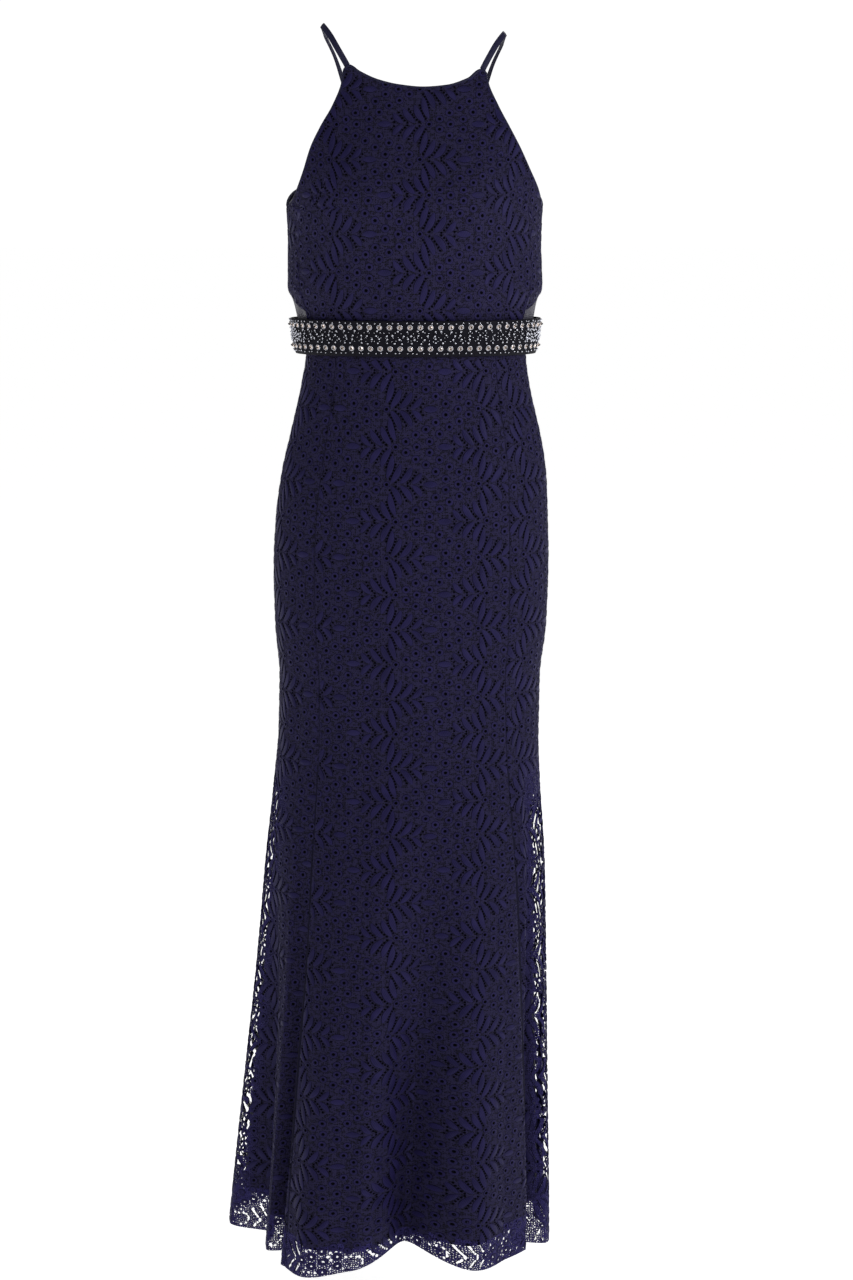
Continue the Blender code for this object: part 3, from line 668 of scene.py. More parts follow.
def ringShape(x, y, outerRadius, holeRadius, sides=9):
    # a corded ring: radius and height of its foot, its cord, its crown and its hole's edge
    profile = ((outerRadius, frond["sunk"]), (0.84 * outerRadius, 0.7 * frond["leafRise"]),
               (0.58 * outerRadius, frond["leafRise"]), (holeRadius, frond["sunk"]))
    points, faces, bands = [], [], []
    for k in range(sides):
        t = 2 * math.pi * k / sides
        points += [(x + r * math.cos(t), y + r * math.sin(t), h) for r, h in profile]
    # the ring's foot is band 2, the painted shade at the cord's foot
    for k in range(sides):
        n = (k + 1) % sides
        for j in range(3):
            faces.append((k * 4 + j, n * 4 + j, n * 4 + j + 1, k * 4 + j + 1))
            bands.append(0 if j else 2)
    return np.array(points), faces, bands


def discShape(x, y, radius, height, sides=6):
    t = 2 * np.pi * (np.arange(sides) + 0.5) / sides
    points = np.stack([x + radius * np.cos(t), y + radius * np.sin(t), height + 0 * t], 1)
    return points, [tuple(range(sides))], [0]


def mirrored(shape):
    points, faces, bands = shape
    return points * np.array([1, -1, 1]), [face[::-1] for face in faces], bands


def gathered(shapes):
    points, faces, bands, start = [], [], [], 0
    for p, f, b in shapes:
        points.append(p)
        faces += [tuple(i + start for i in face) for face in f]
        bands += b
        start += len(p)
    return np.concatenate(points), faces, bands


def frondLeaves():
    shapes = [leafShape(*frond["spineLeaf"]), leafShape(*frond["tipLeaf"])]
    for leaf in frond["leaves"]:
        shapes += [leafShape(*leaf), mirrored(leafShape(*leaf))]
    return gathered(shapes)


def ringPlaces():
    places = [(0.0, 0.0)]
    for x, y in frond["rings"]:
        places += [(x, y), (x, -y)] if y else [(x, y)]
    return places


def frondRings():
    small = ringShape(0.0, 0.0, 0.8 * frond["ringRadius"], frond["ringHole"])
    return gathered([small] + [ringShape(x, y, frond["ringRadius"], frond["ringHole"])
                               for x, y in ringPlaces()[1:]])


def holePlaces():
    places = []
    for start, end, bulge, count in frond["holes"]:
        row = bowed(start, end, bulge, count)
        places += [tuple(p) for p in row] + [(x, -y) for x, y in row]
    return places


def frondHoleShades():
    # painted shade: a near-black disc over each small hole and each ring's hole, lying on the net
    # itself
    shapes = [discShape(x, y, frond["holeRadius"], 0.30) for x, y in holePlaces()]
    shapes += [discShape(x, y, frond["ringHole"] * 1.08, 0.08, 8) for x, y in ringPlaces()]
    return gathered(shapes)


def rootsOn(panel):
    # every frond's root that reaches the panel: across, repeat number, way it points
    lace, shift = panel["lace"], panel["laceShift"]
    reach = panel["us"][-1] + laying["frondReach"]
    first = math.floor((-reach - shift) / lace["repeat"])
    last = math.ceil(reach / lace["repeat"]) + 2
    top = math.floor(repeatAt(lace, panel["zs"][0]) - 1)
    low = math.ceil(repeatAt(lace, panel["zs"][-1]) + 1)
    roots = []
    for k in range(first, last):
        across = shift + k * lace["repeat"]
        for row in range(top, low + 1):
            roots += [(across, row, -1), (across + lace["mirrorShift"], row + 0.5, 1)]
    return roots


def netHoles(across, down):
    # the bold net's holes, on staggered rows that wander a little
    pitch, radius, wander = (x / 1000 for x in frond["netHoles"])
    rowHigh = pitch * 0.866
    best = np.full(across.shape, 1.0)
    for rowStep in (-1, 0, 1):
        row = np.round(down / rowHigh) + rowStep
        lean = 0.5 * pitch * (row % 2)
        for step in (-1, 0, 1):
            column = np.round((across - lean) / pitch) + step
            wave = np.sin(12.9898 * row + 78.233 * column) * 43758.5453
            other = np.sin(39.3460 * row + 11.135 * column) * 23421.6310
            x = column * pitch + lean + wander * 2 * (wave - np.floor(wave) - 0.5)
            y = row * rowHigh + wander * 2 * (other - np.floor(other) - 0.5)
            size = radius * (0.75 + 0.4 * (wave - np.floor(wave)))
            best = np.minimum(best, np.hypot(across - x, down - y) - size)
    return best


def nearestOf(panel, uv, features):
    # distance to the nearest of every frond's round features, in metres, and below 0 in one;
    # a feature is x, y and radius in millimetres, above the frond's axis or on it
    lace, shift = panel["lace"], panel["laceShift"]
    repeat, high = lace["repeat"], lace["fullHeight"]
    across, down = uv[..., 0], -uv[..., 1]
    behind, ahead = frond["reach"]
    best = np.full(across.shape, 1.0)
    for u0, v0, way in ((shift, 0.0, -1), (shift + lace["mirrorShift"], 0.5, 1)):
        x = (across - u0 + repeat / 2) % repeat - repeat / 2
        y = np.abs((down - v0 * high + high / 2) % high - high / 2)
        for other in (0.0, repeat, -repeat):
            along = (x + other) * way
            near = (along > behind) & (along < ahead)
            for fx, fy, radius in features:
                d = np.hypot(along[near] - fx / 1000, y[near] - fy / 1000) - radius / 1000
                best[near] = np.minimum(best[near], d)
    return best


def holeField(panel, uv, grown=0.0):
    # distance to the nearest hole of the lace; leaves and rings stay whole inside the bold net
    rings = [(x, y) for x, y in ringPlaces() if y >= 0]
    holes = [(x, y, frond["slitRadius"]) for x, y in holePlaces() if y >= 0]
    holes += [(x, y, frond["ringHole"]) for x, y in rings]
    worked = [(x, y, frond["ringRadius"]) for x, y in rings]
    for start, end, bulge, half in (frond["spineLeaf"], frond["tipLeaf"], *frond["leaves"]):
        worked += [(x, abs(y), frond["leafShare"] * half) for x, y in bowed(start, end, bulge, 7)]
    net = np.maximum(netHoles(uv[..., 0], -uv[..., 1]),
                     frond["netClear"] - nearestOf(panel, uv, worked))
    return np.minimum(nearestOf(panel, uv, holes), net) - grown


def scatterMotif(name, panel, motif, materials, overSheer=True):
    # repeats a motif over the panel, on the cloth's own surface, cut at its edges
    points, faces, bands = motif
    bands = np.array(bands)
    lace, us = panel["lace"], panel["us"]
    roots = rootsOn(panel)
    u0, v0, way = (np.array(x, float)[:, None] for x in zip(*roots))
    u = u0 + way * points[None, :, 0] / 1000
    v = v0 - points[None, :, 1] / 1000 / lace["fullHeight"]
    z = heightOf(lace, v)
    share = readLaid(panel, "back", (u - us[0]) / (us[1] - us[0]), z)
    top, hem = panel["top"](np.clip(share, 0, 1)), panel["hem"](np.clip(share, 0, 1))
    down = (top - z) / (top - hem)
    margin = frond["margin"]
    outside = (share < margin) | (share > 1 - margin) | (down < 0.002) | (down > 0.999)
    row = np.clip(down, 0, 1) * (panel["outer"].shape[0] - 1)
    column = np.clip(share, 0, 1) * (panel["outer"].shape[1] - 1)
    n = readGrid(panel["normals"], row, column)
    place = readGrid(panel["outer"], row, column) + n * (points[None, :, 2:3] / 1000)
    isBare = panel["bare"][np.minimum(row.astype(int), panel["bare"].shape[0] - 1),
                           np.minimum(column.astype(int), panel["bare"].shape[1] - 1)]
    groups = {}
    for k, face in enumerate(faces):
        groups.setdefault(len(face), []).append(k)
    polygons, slots = [], []
    for members in groups.values():
        index = np.array([faces[k] for k in members])
        sheerHere = isBare[:, index].mean(axis=2) > 0.5
        keep = outside[:, index].mean(axis=2) < 0.5
        # over the sheer cloth a leaf's middle is open, and a hole's disc of painted shade is left out
        # whole
        keep &= ~(sheerHere & ((bands[members] == 1)[None] | (not overSheer)))
        for root in range(len(roots)):
            chosen = index[keep[root]] + root * len(points)
            if way[root, 0] < 0:
                chosen = chosen[:, ::-1]
            polygons += chosen.tolist()
            # band 2 takes the second material, the painted shade at a cord's foot
            slots += (bands[members] == 2).astype(int)[keep[root]].tolist()
    used = np.unique(np.concatenate([np.array(p) for p in polygons]))
    new = np.full(len(roots) * len(points), -1)
    new[used] = np.arange(len(used))
    flat = np.stack([u, -v * lace["fullHeight"]], axis=-1).reshape(-1, 2)[used]
    return makePiece(name, place.reshape(-1, 3)[used], [[int(new[i]) for i in p] for p in polygons],
                     flat, materials, slots if len(materials) > 1 else None)


# Materials

def srgb(code):
    parts = [int(code[i:i + 2], 16) / 255 for i in (1, 3, 5)]
    return tuple(c / 12.92 if c <= 0.04045 else ((c + 0.055) / 1.055) ** 2.4 for c in parts) + (1,)


def addNode(tree, kind, settings=None, links=None):
    # one node: settings are its own properties or its inputs' values, links are sockets
    made = tree.nodes.new(kind)
    for key, value in (settings or {}).items():
        if isinstance(key, str) and hasattr(made, key):
            setattr(made, key, value)
        else:
            made.inputs[key].default_value = value
    for key, socket in (links or {}).items():
        tree.links.new(socket, made.inputs[key])
    return made


def newMaterial(name, **values):
    material = bpy.data.materials.new(name)
    material.use_nodes = True
    tree = material.node_tree
    shader = tree.nodes["Principled BSDF"]
    for key, value in values.items():
        shader.inputs[key.replace("_", " ")].default_value = value
    return material, tree, shader


def clothPlace(tree, across, down):
    # the cloth's own coordinates, one unit to each given length in metres
    uv = addNode(tree, "ShaderNodeUVMap", {"uv_map": "cloth"}).outputs[0]
    scale = (1 / across, 1 / down, 1)
    return addNode(tree, "ShaderNodeMapping", {"Scale": scale}, {"Vector": uv}).outputs[0]


def finish(tree, shader, look, share, height=None):
    # the material's own colours by a share, and where it has them its raised threads
    colour = addNode(tree, "ShaderNodeMix",
                     {"data_type": "RGBA", 6: srgb(look["dark"]), 7: srgb(look["light"])},
                     {0: share}).outputs[2]
    tree.links.new(colour, shader.inputs["Base Color"])
    if height:
        bump = addNode(tree, "ShaderNodeBump",
                       {"Strength": look["raised"], "Distance": look["raisedHeight"]},
                       {"Height": height}).outputs[0]
        tree.links.new(bump, shader.inputs["Normal"])
    return colour


def laceGround():
    # polyester raschel net, knitted, with a fine vertical weft: it gives the eye a dull grey-navy
    # ground that darkens where the lining shows through, and lets light by where nothing backs it
    look = {
        "light": "#272440", "dark": "#121117", "roughness": 0.62, "sheen": "#6f68c4",
        "netPitch": 0.0026,     # the net's real cells are 0.9 mm, drawn three times as coarse to show
        "weftPitch": 0.0023,    # the weft threads are 1 mm apart, drawn coarser to show
        "weftRun": 0.02, "broad": (0.03, 0.05),
        "crinkle": 0.0045,      # the corded threads pucker the net every few millimetres
        # where a cell's edge counts as thread, where a pucker is light, and how they add up
        "thread": (0.10, 0.34), "pucker": (0.39, 0.58), "lightness": (0.80, 2.00),
        "weftPart": 0.60, "broadPart": 0.35, "puckerPart": 1.3,
        "openShare": 0.31, "openEdge": 0.05,
        "backlit": "#35306a",   # threads with no lining behind them glow a little
        "glow": 0.55, "raised": 0.8, "raisedHeight": 0.0008,
    }
    material, tree, shader = newMaterial(
        "corded polyester net", Roughness=look["roughness"], Sheen_Weight=0.06,
        Sheen_Roughness=0.4, Sheen_Tint=srgb(look["sheen"]), Specular_IOR_Level=0.05, IOR=1.46)
    cells = addNode(
        tree, "ShaderNodeTexVoronoi",
        {"voronoi_dimensions": "2D", "feature": "DISTANCE_TO_EDGE", "Scale": 1.0,
         "Randomness": 0.75},
        {"Vector": clothPlace(tree, look["netPitch"], look["netPitch"])}).outputs["Distance"]
    weft = addNode(
        tree, "ShaderNodeTexWave",
        {"bands_direction": "X", "Scale": 0.5, "Distortion": 1.2, "Detail": 1.0,
         "Detail Scale": 0.4},
        {"Vector": clothPlace(tree, look["weftPitch"] * 2 / math.pi, look["weftRun"])}
    ).outputs["Fac"]
    broad = addNode(
        tree, "ShaderNodeTexNoise", {"noise_dimensions": "2D", "Scale": 1.0, "Detail": 2.0},
        {"Vector": clothPlace(tree, *look["broad"])}).outputs["Fac"]
    crinkle = addNode(
        tree, "ShaderNodeTexNoise", {"noise_dimensions": "2D", "Scale": 1.0, "Detail": 3.0},
        {"Vector": clothPlace(tree, look["crinkle"], look["crinkle"] * 0.8)}).outputs["Fac"]
    mix = addNode(
        tree, "ShaderNodeMapRange",
        {"From Min": look["thread"][0], "From Max": look["thread"][1], "To Min": 1.0, "To Max": 0.0},
        {"Value": cells}).outputs[0]
    puckers = addNode(
        tree, "ShaderNodeMapRange",
        {"From Min": look["pucker"][0], "From Max": look["pucker"][1]},
        {"Value": crinkle}).outputs[0]
    for layer, part in ((weft, "weftPart"), (broad, "broadPart"), (puckers, "puckerPart")):
        mix = addNode(tree, "ShaderNodeMath", {"operation": "MULTIPLY_ADD", 1: look[part]},
                      {0: layer, 2: mix}).outputs[0]
    share = addNode(
        tree, "ShaderNodeMapRange",
        {"From Min": look["lightness"][0], "From Max": look["lightness"][1]},
        {"Value": mix}).outputs[0]
    colour = finish(tree, shader, look, share, share)
    unbacked = addNode(tree, "ShaderNodeAttribute", {"attribute_name": "sheer"}).outputs["Fac"]
    glow = addNode(tree, "ShaderNodeMath", {"operation": "MULTIPLY", 1: look["glow"]},
                   {0: unbacked}).outputs[0]
    colour = addNode(tree, "ShaderNodeMix", {"data_type": "RGBA", 7: srgb(look["backlit"])},
                     {0: glow, 6: colour}).outputs[2]
    tree.links.new(colour, shader.inputs["Base Color"])
    hole = addNode(
        tree, "ShaderNodeMapRange",
        {"From Min": look["openShare"] - look["openEdge"],
         "From Max": look["openShare"] + look["openEdge"]}, {"Value": cells}).outputs[0]
    clear = addNode(tree, "ShaderNodeMath", {"operation": "MULTIPLY"},
                    {0: hole, 1: unbacked}).outputs[0]
    alpha = addNode(tree, "ShaderNodeMath", {"operation": "SUBTRACT", 0: 1.0},
                    {1: clear}).outputs[0]
    tree.links.new(alpha, shader.inputs["Alpha"])
    return material


def satinCord():
    # polyester cord worked flat in satin stitch: the leaves and rings read smoother, bluer and
    # a little brighter than the net, with a soft shine along their threads
    look = {
        "light": "#252149", "dark": "#1a1738", "roughness": 0.46, "sheen": "#5c52d0",
        "threadPitch": 0.0016,   # the threads are 0.4 mm, drawn coarser to show
        "broad": 0.02, "threadPart": 0.35, "lightness": (0.35, 1.0),
        "raised": 0.35, "raisedHeight": 0.0003,
    }
    material, tree, shader = newMaterial(
        "satin stitched polyester cord", Roughness=look["roughness"], Sheen_Weight=0.06,
        Sheen_Roughness=0.35, Sheen_Tint=srgb(look["sheen"]), IOR=1.5, Specular_IOR_Level=0.07)
    threads = addNode(
        tree, "ShaderNodeTexWave",
        {"bands_direction": "DIAGONAL", "Scale": 0.5, "Distortion": 2.0, "Detail": 1.0,
         "Detail Scale": 0.5},
        {"Vector": clothPlace(tree, look["threadPitch"], look["threadPitch"] * 2.2)}
    ).outputs["Fac"]
    broad = addNode(
        tree, "ShaderNodeTexNoise", {"noise_dimensions": "2D", "Scale": 1.0, "Detail": 2.0},
        {"Vector": clothPlace(tree, look["broad"], look["broad"])}).outputs["Fac"]
    mix = addNode(tree, "ShaderNodeMath", {"operation": "MULTIPLY_ADD", 1: look["threadPart"]},
                  {0: threads, 2: broad}).outputs[0]
    share = addNode(
        tree, "ShaderNodeMapRange",
        {"From Min": look["lightness"][0], "From Max": look["lightness"][1]},
        {"Value": mix}).outputs[0]
    finish(tree, shader, look, share, threads)
    return material


def wornCloth(name, light, dark, roughness, pitch, specular):
    # plain woven polyester: fine threads break the colour a little, and its smoothness gives
    # the shine
    look = {"light": light, "dark": dark, "raised": 0.4, "raisedHeight": 0.0002, "weftPart": 0.6}
    material, tree, shader = newMaterial(
        name, Roughness=roughness, IOR=1.48, Specular_IOR_Level=specular)
    warp, weft = (addNode(
        tree, "ShaderNodeTexWave",
        {"bands_direction": direction, "Scale": 0.5, "Distortion": 1.5, "Detail": 1.0,
         "Detail Scale": 0.6},
        {"Vector": clothPlace(tree, pitch, pitch)}).outputs["Fac"] for direction in ("X", "Y"))
    both = addNode(tree, "ShaderNodeMath", {"operation": "MULTIPLY_ADD", 1: look["weftPart"]},
                   {0: weft, 2: warp}).outputs[0]
    share = addNode(tree, "ShaderNodeMapRange", {"From Max": 1 + look["weftPart"]},
                    {"Value": both}).outputs[0]
    finish(tree, shader, look, share, both)
    return material


def insetNet():
    # fine nylon tulle: a see-through grey veil
    look = {
        "dark": "#4a4858", "light": "#262433",    # the thread, at share 0, is the paler here
        "pitch": 0.0016, "openShare": 0.22, "openEdge": 0.05, "veil": 0.12,
    }
    material, tree, shader = newMaterial(
        "nylon tulle", Roughness=0.6, Sheen_Weight=0.3, Sheen_Roughness=0.4)
    cells = addNode(
        tree, "ShaderNodeTexVoronoi",
        {"voronoi_dimensions": "2D", "feature": "DISTANCE_TO_EDGE", "Scale": 1.0,
         "Randomness": 0.15},
        {"Vector": clothPlace(tree, look["pitch"], look["pitch"])}).outputs["Distance"]
    finish(tree, shader, look, cells)
    alpha = addNode(
        tree, "ShaderNodeMapRange",
        {"From Min": look["openShare"] - look["openEdge"],
         "From Max": look["openShare"] + look["openEdge"], "To Min": 1.0, "To Max": look["veil"]},
        {"Value": cells}).outputs[0]
    tree.links.new(alpha, shader.inputs["Alpha"])
    return material


def hardTrim(name, light, dark, roughness, metallic, grain=0.002):
    # a hard trim: its colour wanders a little from piece to piece, and its polish with it
    material, tree, shader = newMaterial(name, Metallic=metallic)
    wander = addNode(
        tree, "ShaderNodeTexNoise", {"Scale": 1 / grain, "Detail": 2.0},
        {"Vector": addNode(tree, "ShaderNodeTexCoord").outputs["Object"]}).outputs["Fac"]
    finish(tree, shader, {"light": light, "dark": dark}, wander)
    polish = addNode(tree, "ShaderNodeMapRange",
                     {"To Min": roughness * 0.7, "To Max": roughness * 1.3}, {"Value": wander})
    tree.links.new(polish.outputs[0], shader.inputs["Roughness"])
    return material


print("materials")
netGround = laceGround()
cordSatin = satinCord()
# painted shade: near-black discs over the uncut net stand for the dark seen through each small hole
# of the lace, where the lining backs it
holeShade = wornCloth("painted shade of a hole", "#06050c", "#030306", 0.9, 0.002, 0.02)
# painted shade: the thin dark band at the foot of each corded edge
cordShade = wornCloth("polyester cord in its own shade", "#131125", "#0b0a17", 0.8, 0.0016, 0.05)
# woven polyester satin, plain, in a darker copy with painted shade: it gives the deep even dark
# inside the dress
shadedLiningSatin = wornCloth("polyester lining satin", "#12101c", "#0c0b14", 0.42, 0.0012, 0.2)
# the same satin's face under the lace, a lighter copy with painted light where light comes through
# the holes
litLiningFace = wornCloth("polyester lining satin, lit face", "#221f3e", "#191731", 0.45, 0.0012, 0.15)
# bias-cut polyester satin, turned and stitched: narrow smooth edges with a soft shine
biasSatin = wornCloth("bias-cut polyester satin", "#22213c", "#17162e", 0.42, 0.0014, 0.15)
tulle = insetNet()
# woven polyester ribbon under the beads, almost black between them
bandRibbon = wornCloth("woven polyester ribbon", "#100f1b", "#07060d", 0.6, 0.0016, 0.1)
# cut and foiled glass: champagne with a bright polished face
cutGlass = hardTrim("foiled cut glass", "#e8dcd3", "#bfada3", 0.10, 0.85, 0.004)
# cast brass, silver plated: the cups and the beads give small hard highlights
silverPlate = hardTrim("silver-plated brass", "#dcdde4", "#a9acb8", 0.16, 1.0, 0.003)
# pressed glass with a bronze coat: a dark warm point in the middle of each crystal
bronzeBead = hardTrim("bronze-coated glass bead", "#2c211c", "#120e0c", 0.3, 0.6)
# polyester zip tape and nylon coil, dyed navy: dull, ribbed
zipTape = wornCloth("woven polyester zip tape", "#1b1a2c", "#12111e", 0.62, 0.0013, 0.2)
coilNylon = hardTrim("moulded nylon coil", "#23223a", "#161524", 0.35, 0.0)
# die-cast zinc, painted navy: smooth with a thin worn shine
paintedZinc = hardTrim("painted die-cast zinc", "#34334f", "#1f1e33", 0.3, 0.75)
# overlocked polyester thread on net: the darker line of each seam allowance
seamBinding = wornCloth("overlocked seam allowance", "#1b1930", "#0f0e1b", 0.7, 0.0013, 0.05)


# The main creases that show, and like ones on the hidden sides: soft troughs and ridges
# angle and height of each end, half width in metres, depth (a ridge is negative)

creaseLines = (
    # the bodice darts and the soft drag lines that run from them
    (-40.0, -0.302, -33.0, -0.236, 0.0034, 0.0022),
    (38.0, -0.318, 33.0, -0.240, 0.0034, 0.0022),
    (-60.0, -0.262, -44.0, -0.212, 0.0080, 0.0010),
    (58.0, -0.270, 44.0, -0.215, 0.0080, 0.0011),
    # strain across the hip and the starts of the folds at the knee
    (-34.0, -0.470, -62.0, -0.500, 0.0110, 0.0009),
    (30.0, -0.455, 60.0, -0.490, 0.0100, 0.0009),
    (-22.0, -0.930, -15.0, -0.720, 0.0120, 0.0014),
    (21.0, -0.900, 16.0, -0.700, 0.0110, -0.0011),
    (-61.0, -0.880, -56.0, -0.700, 0.0100, 0.0016),
    (58.0, -0.860, 55.0, -0.690, 0.0100, 0.0016),
    # the dark troughs beside the front panel, down to the hem
    (-43.6, -0.840, -40.8, -1.396, 0.0062, 0.0045),
    (52.0, -0.850, 60.8, -1.396, 0.0062, 0.0042),
    # the like on the back
    (148.0, -0.900, 152.0, -0.700, 0.0120, 0.0014),
    (-150.0, -0.930, -153.0, -0.720, 0.0120, 0.0014),
    (120.0, -0.480, 150.0, -0.455, 0.0110, 0.0009),
    (-118.0, -0.490, -149.0, -0.460, 0.0110, 0.0009),
)


# a crease that rises less than this runs across; one is so strong at its ends, and fades out over
# so many of its half widths past them, or over this share of its own length where it runs across
creaseShape = {"level": 0.045, "endStrength": 0.35, "fade": 3, "fadeAcross": 0.5}


def creases(angle, z):
    depth = np.zeros(np.broadcast(angle, z).shape)
    size = readTable(form["sections"], 1, z)
    for a0, z0, a1, z1, half, deep in creaseLines:
        s = np.clip((z - z0) / (z1 - z0), 0, 1)
        middle = a0 + (a1 - a0) * s
        beside = np.radians(turn(middle, angle)) * size / half
        beyond = np.maximum(z - max(z0, z1), min(z0, z1) - z) / (creaseShape["fade"] * half)
        if abs(z1 - z0) < creaseShape["level"]:    # measured down the cloth
            along = turn(a0, angle) / (a1 - a0)
            s = np.clip(along, 0, 1)
            beside = (z - (z0 + (z1 - z0) * s)) / half
            beyond = np.maximum(along - 1, -along) / creaseShape["fadeAcross"]
        ends = creaseShape["endStrength"]
        strength = (1 - ease(beyond)) * (ends + (1 - ends) * bell(2 * s - 1))
        depth = depth + deep * np.exp(-beside ** 2) * strength
    return -depth


# Panels

skirtShape = {
    "rows": 124, "columnWidth": 0.0048, "wall": 0.0009,
    "foldedWidth": 1.25,    # the cloth along the hem's folds, to the width without them
    "sheerTop": -0.800, "sheerFade": 0.110,
    # how far inside the lining's outline the lace begins to open, and how soon it is fully open
    "sheerMargin": 0.0180, "sheerRamp": 0.0240,
    # from what share the cloth is cut open, and from what share the leaves on it are open too
    "openFrom": 0.02, "bareFrom": 0.55,
    "aboveLiningHem": 0.004, "cut": {"hem": (4, 3), "side": (3, 2)},
    # how much the holes grow towards the back of each side, where two layers cross
    "hemGrowth": -0.00025, "sideGrowth": 0.0011, "shutHoles": 0.0026,
    # the cloth stays whole this near to a seam and to the hem
    "wholeAtSeam": 0.0030, "wholeAtHem": 0.0022,
    "frontPlumb": -0.0202,    # the front's grain line hangs at this x
}
# rows and columns of each grid, the x of the front's grain line, how far the backs' lace is moved
# across, and the angle of their grain line
bodiceShape = {
    "wall": 0.0016, "frontGrid": (60, 132), "backGrid": (46, 50), "frontPlumb": 0.0174,
    "backLaceShift": 0.02, "backGrain": 135.0,
}


def liningOutline():
    # height, greatest x and least x of the lining
    rows = []
    for z in np.linspace(form["waistZ"] - 0.001, form["hemZ"], 80):
        x = liningSurface(np.linspace(-180, 180, 721), np.full(721, z))[:, 0]
        rows.append((z, x.max(), x.min()))
    return np.array(rows)


liningSides = liningOutline()


def sheerShare(x, z):
    # the sides are seen through wherever the lace stands out past the lining's outline: 0 to 1
    most, least = (np.interp(-z, -liningSides[:, 0], liningSides[:, k]) for k in (1, 2))
    out = np.maximum(x - most, least - x) + skirtShape["sheerMargin"]
    across = ease(np.clip(out / skirtShape["sheerRamp"], 0, 1))
    return across * ease(np.clip((skirtShape["sheerTop"] - z) / skirtShape["sheerFade"], 0, 1))


def skirtPanel(name, left, right, grain, laceShift, grainSurface):
    gap = 0.5 * seamGap

    def edge(seam, way):
        return lambda z: seamAngle(seam, z) + way * degreesOf(gap, z)

    def hem(share):
        first, last = edge(left, 1)(form["hemZ"]), edge(right, -1)(form["hemZ"])
        return readTable(form["hems"], 1, first + (last - first) * share)

    panel = {
        "name": name, "surface": wornSurface, "grainSurface": grainSurface, "grain": grain,
        "left": edge(left, 1), "right": edge(right, -1), "lace": skirtLace,
        "top": lambda share: form["waistZ"] - seamGap + 0 * share, "hem": hem,
        "thickness": skirtShape["wall"], "laceShift": laceShift,
    }
    layOut(panel)
    wide = abs(panel["right"](form["hemZ"]) - panel["left"](form["hemZ"]))
    wide = float(wide / degreesOf(1.0, form["hemZ"]))
    columns = round(wide * skirtShape["foldedWidth"] / skirtShape["columnWidth"])
    spread(panel, skirtShape["rows"], columns)
    angle = 0.25 * (panel["angle"][:-1, :-1] + panel["angle"][1:, :-1]
                    + panel["angle"][:-1, 1:] + panel["angle"][1:, 1:])
    z = panel["z"][1:, 1:]
    liningHem = readTable(form["hems"], 2, angle)
    panel["hemOpen"] = z < liningHem + skirtShape["aboveLiningHem"]
    share = sheerShare(panel["outer"][1:, 1:, 0], z)
    panel["sideOpen"] = (share > skirtShape["openFrom"]) & ~panel["hemOpen"]
    panel["open"] = panel["hemOpen"] | panel["sideOpen"]
    panel["bare"] = panel["hemOpen"] | (share > skirtShape["bareFrom"])
    return panel


def cutShell(panel, part):
    # the unlined cloth of the hem or the side, with the lace's holes cut through
    down, across = skirtShape["cut"][part]
    outer, inner, uv = (refine(panel[k], down, across) for k in ("outer", "inner", "uv"))
    cells = np.kron(panel[part + "Open"], np.ones((down, across), bool))
    grown = skirtShape[part + "Growth"]
    if part == "side":    # the holes grow from nothing to their full size
        share = sheerShare(outer[..., 0], outer[..., 2])
        grown = grown * share - skirtShape["shutHoles"] * (1 - share)
    steps = np.linalg.norm(np.diff(outer, axis=1), axis=2)
    run = np.concatenate([np.zeros((len(steps), 1)), np.cumsum(steps, axis=1)], axis=1)
    fromSeam = np.minimum(run, run[:, -1:] - run)
    fromHem = outer[:, :, 2] - outer[-1:, :, 2]
    solid = np.maximum(holeField(panel, uv, grown), skirtShape["wholeAtSeam"] - fromSeam)
    solid = np.maximum(solid, skirtShape["wholeAtHem"] - fromHem)
    return shellFaces(outer, inner, uv, cells, solid)


def skirtCloth(panel):
    # each shell with how sheer it is: none of it, all of it, or more towards the side
    shells = [
        (*shellFaces(panel["outer"], panel["inner"], panel["uv"], ~panel["open"]), 0.0),
        (*cutShell(panel, "hem"), 1.0),
    ]
    if panel["sideOpen"].any():
        side = cutShell(panel, "side")
        shells.append((*side, sheerShare(side[0][:, 0], side[0][:, 2])))
    return clothMesh(panel["name"] + "_lace", shells, [netGround])


def plumbGrain(x):
    # a grain line that hangs plumb down the front, at x
    def grain(z):
        angles = np.linspace(-60, 60, 481)
        a, zz = np.meshgrid(angles, np.atleast_1d(z))
        rows = onSection(form["sections"], a, zz)[..., 0]
        return np.array([np.interp(x, row, angles) for row in rows])
    return grain


def middleGrain(left, right):
    return lambda z: 0.5 * (seamAngle(left, z) + seamAngle(right, z))


def unfolded(angle, z):
    return onSection(form["sections"], angle, z)


def dressPanel(panel, cloth):
    # what is worked on the panel's cloth, worn with the cloth as part of the dress, and the panel's
    # node of the frame hidden
    worked = [
        scatterMotif(panel["name"] + "_leaves", panel, frondLeaves(), [cordSatin, cordShade]),
        scatterMotif(panel["name"] + "_rings", panel, frondRings(), [cordSatin, cordShade]),
        scatterMotif(panel["name"] + "_eyelet_shade", panel, frondHoleShades(), [holeShade], False),
    ]
    ofDress([cloth, *worked], panel["name"])


print("skirt")
skirtPlans = (
    ("skirt_front", "left", "right", plumbGrain(skirtShape["frontPlumb"]), 0.0, unfolded),
    ("skirt_side_left", -90.0, "left", middleGrain(-90.0, "left"), -0.006, wornSurface),
    ("skirt_side_right", "right", 90.0, middleGrain("right", 90.0), -0.018, wornSurface),
    ("skirt_back_left", -180.0, -90.0, middleGrain(-180.0, -90.0), 0.010, wornSurface),
    ("skirt_back_right", 90.0, 180.0, middleGrain(90.0, 180.0), 0.040, wornSurface),
)
for plan in skirtPlans:
    panel = skirtPanel(*plan)
    dressPanel(panel, skirtCloth(panel))


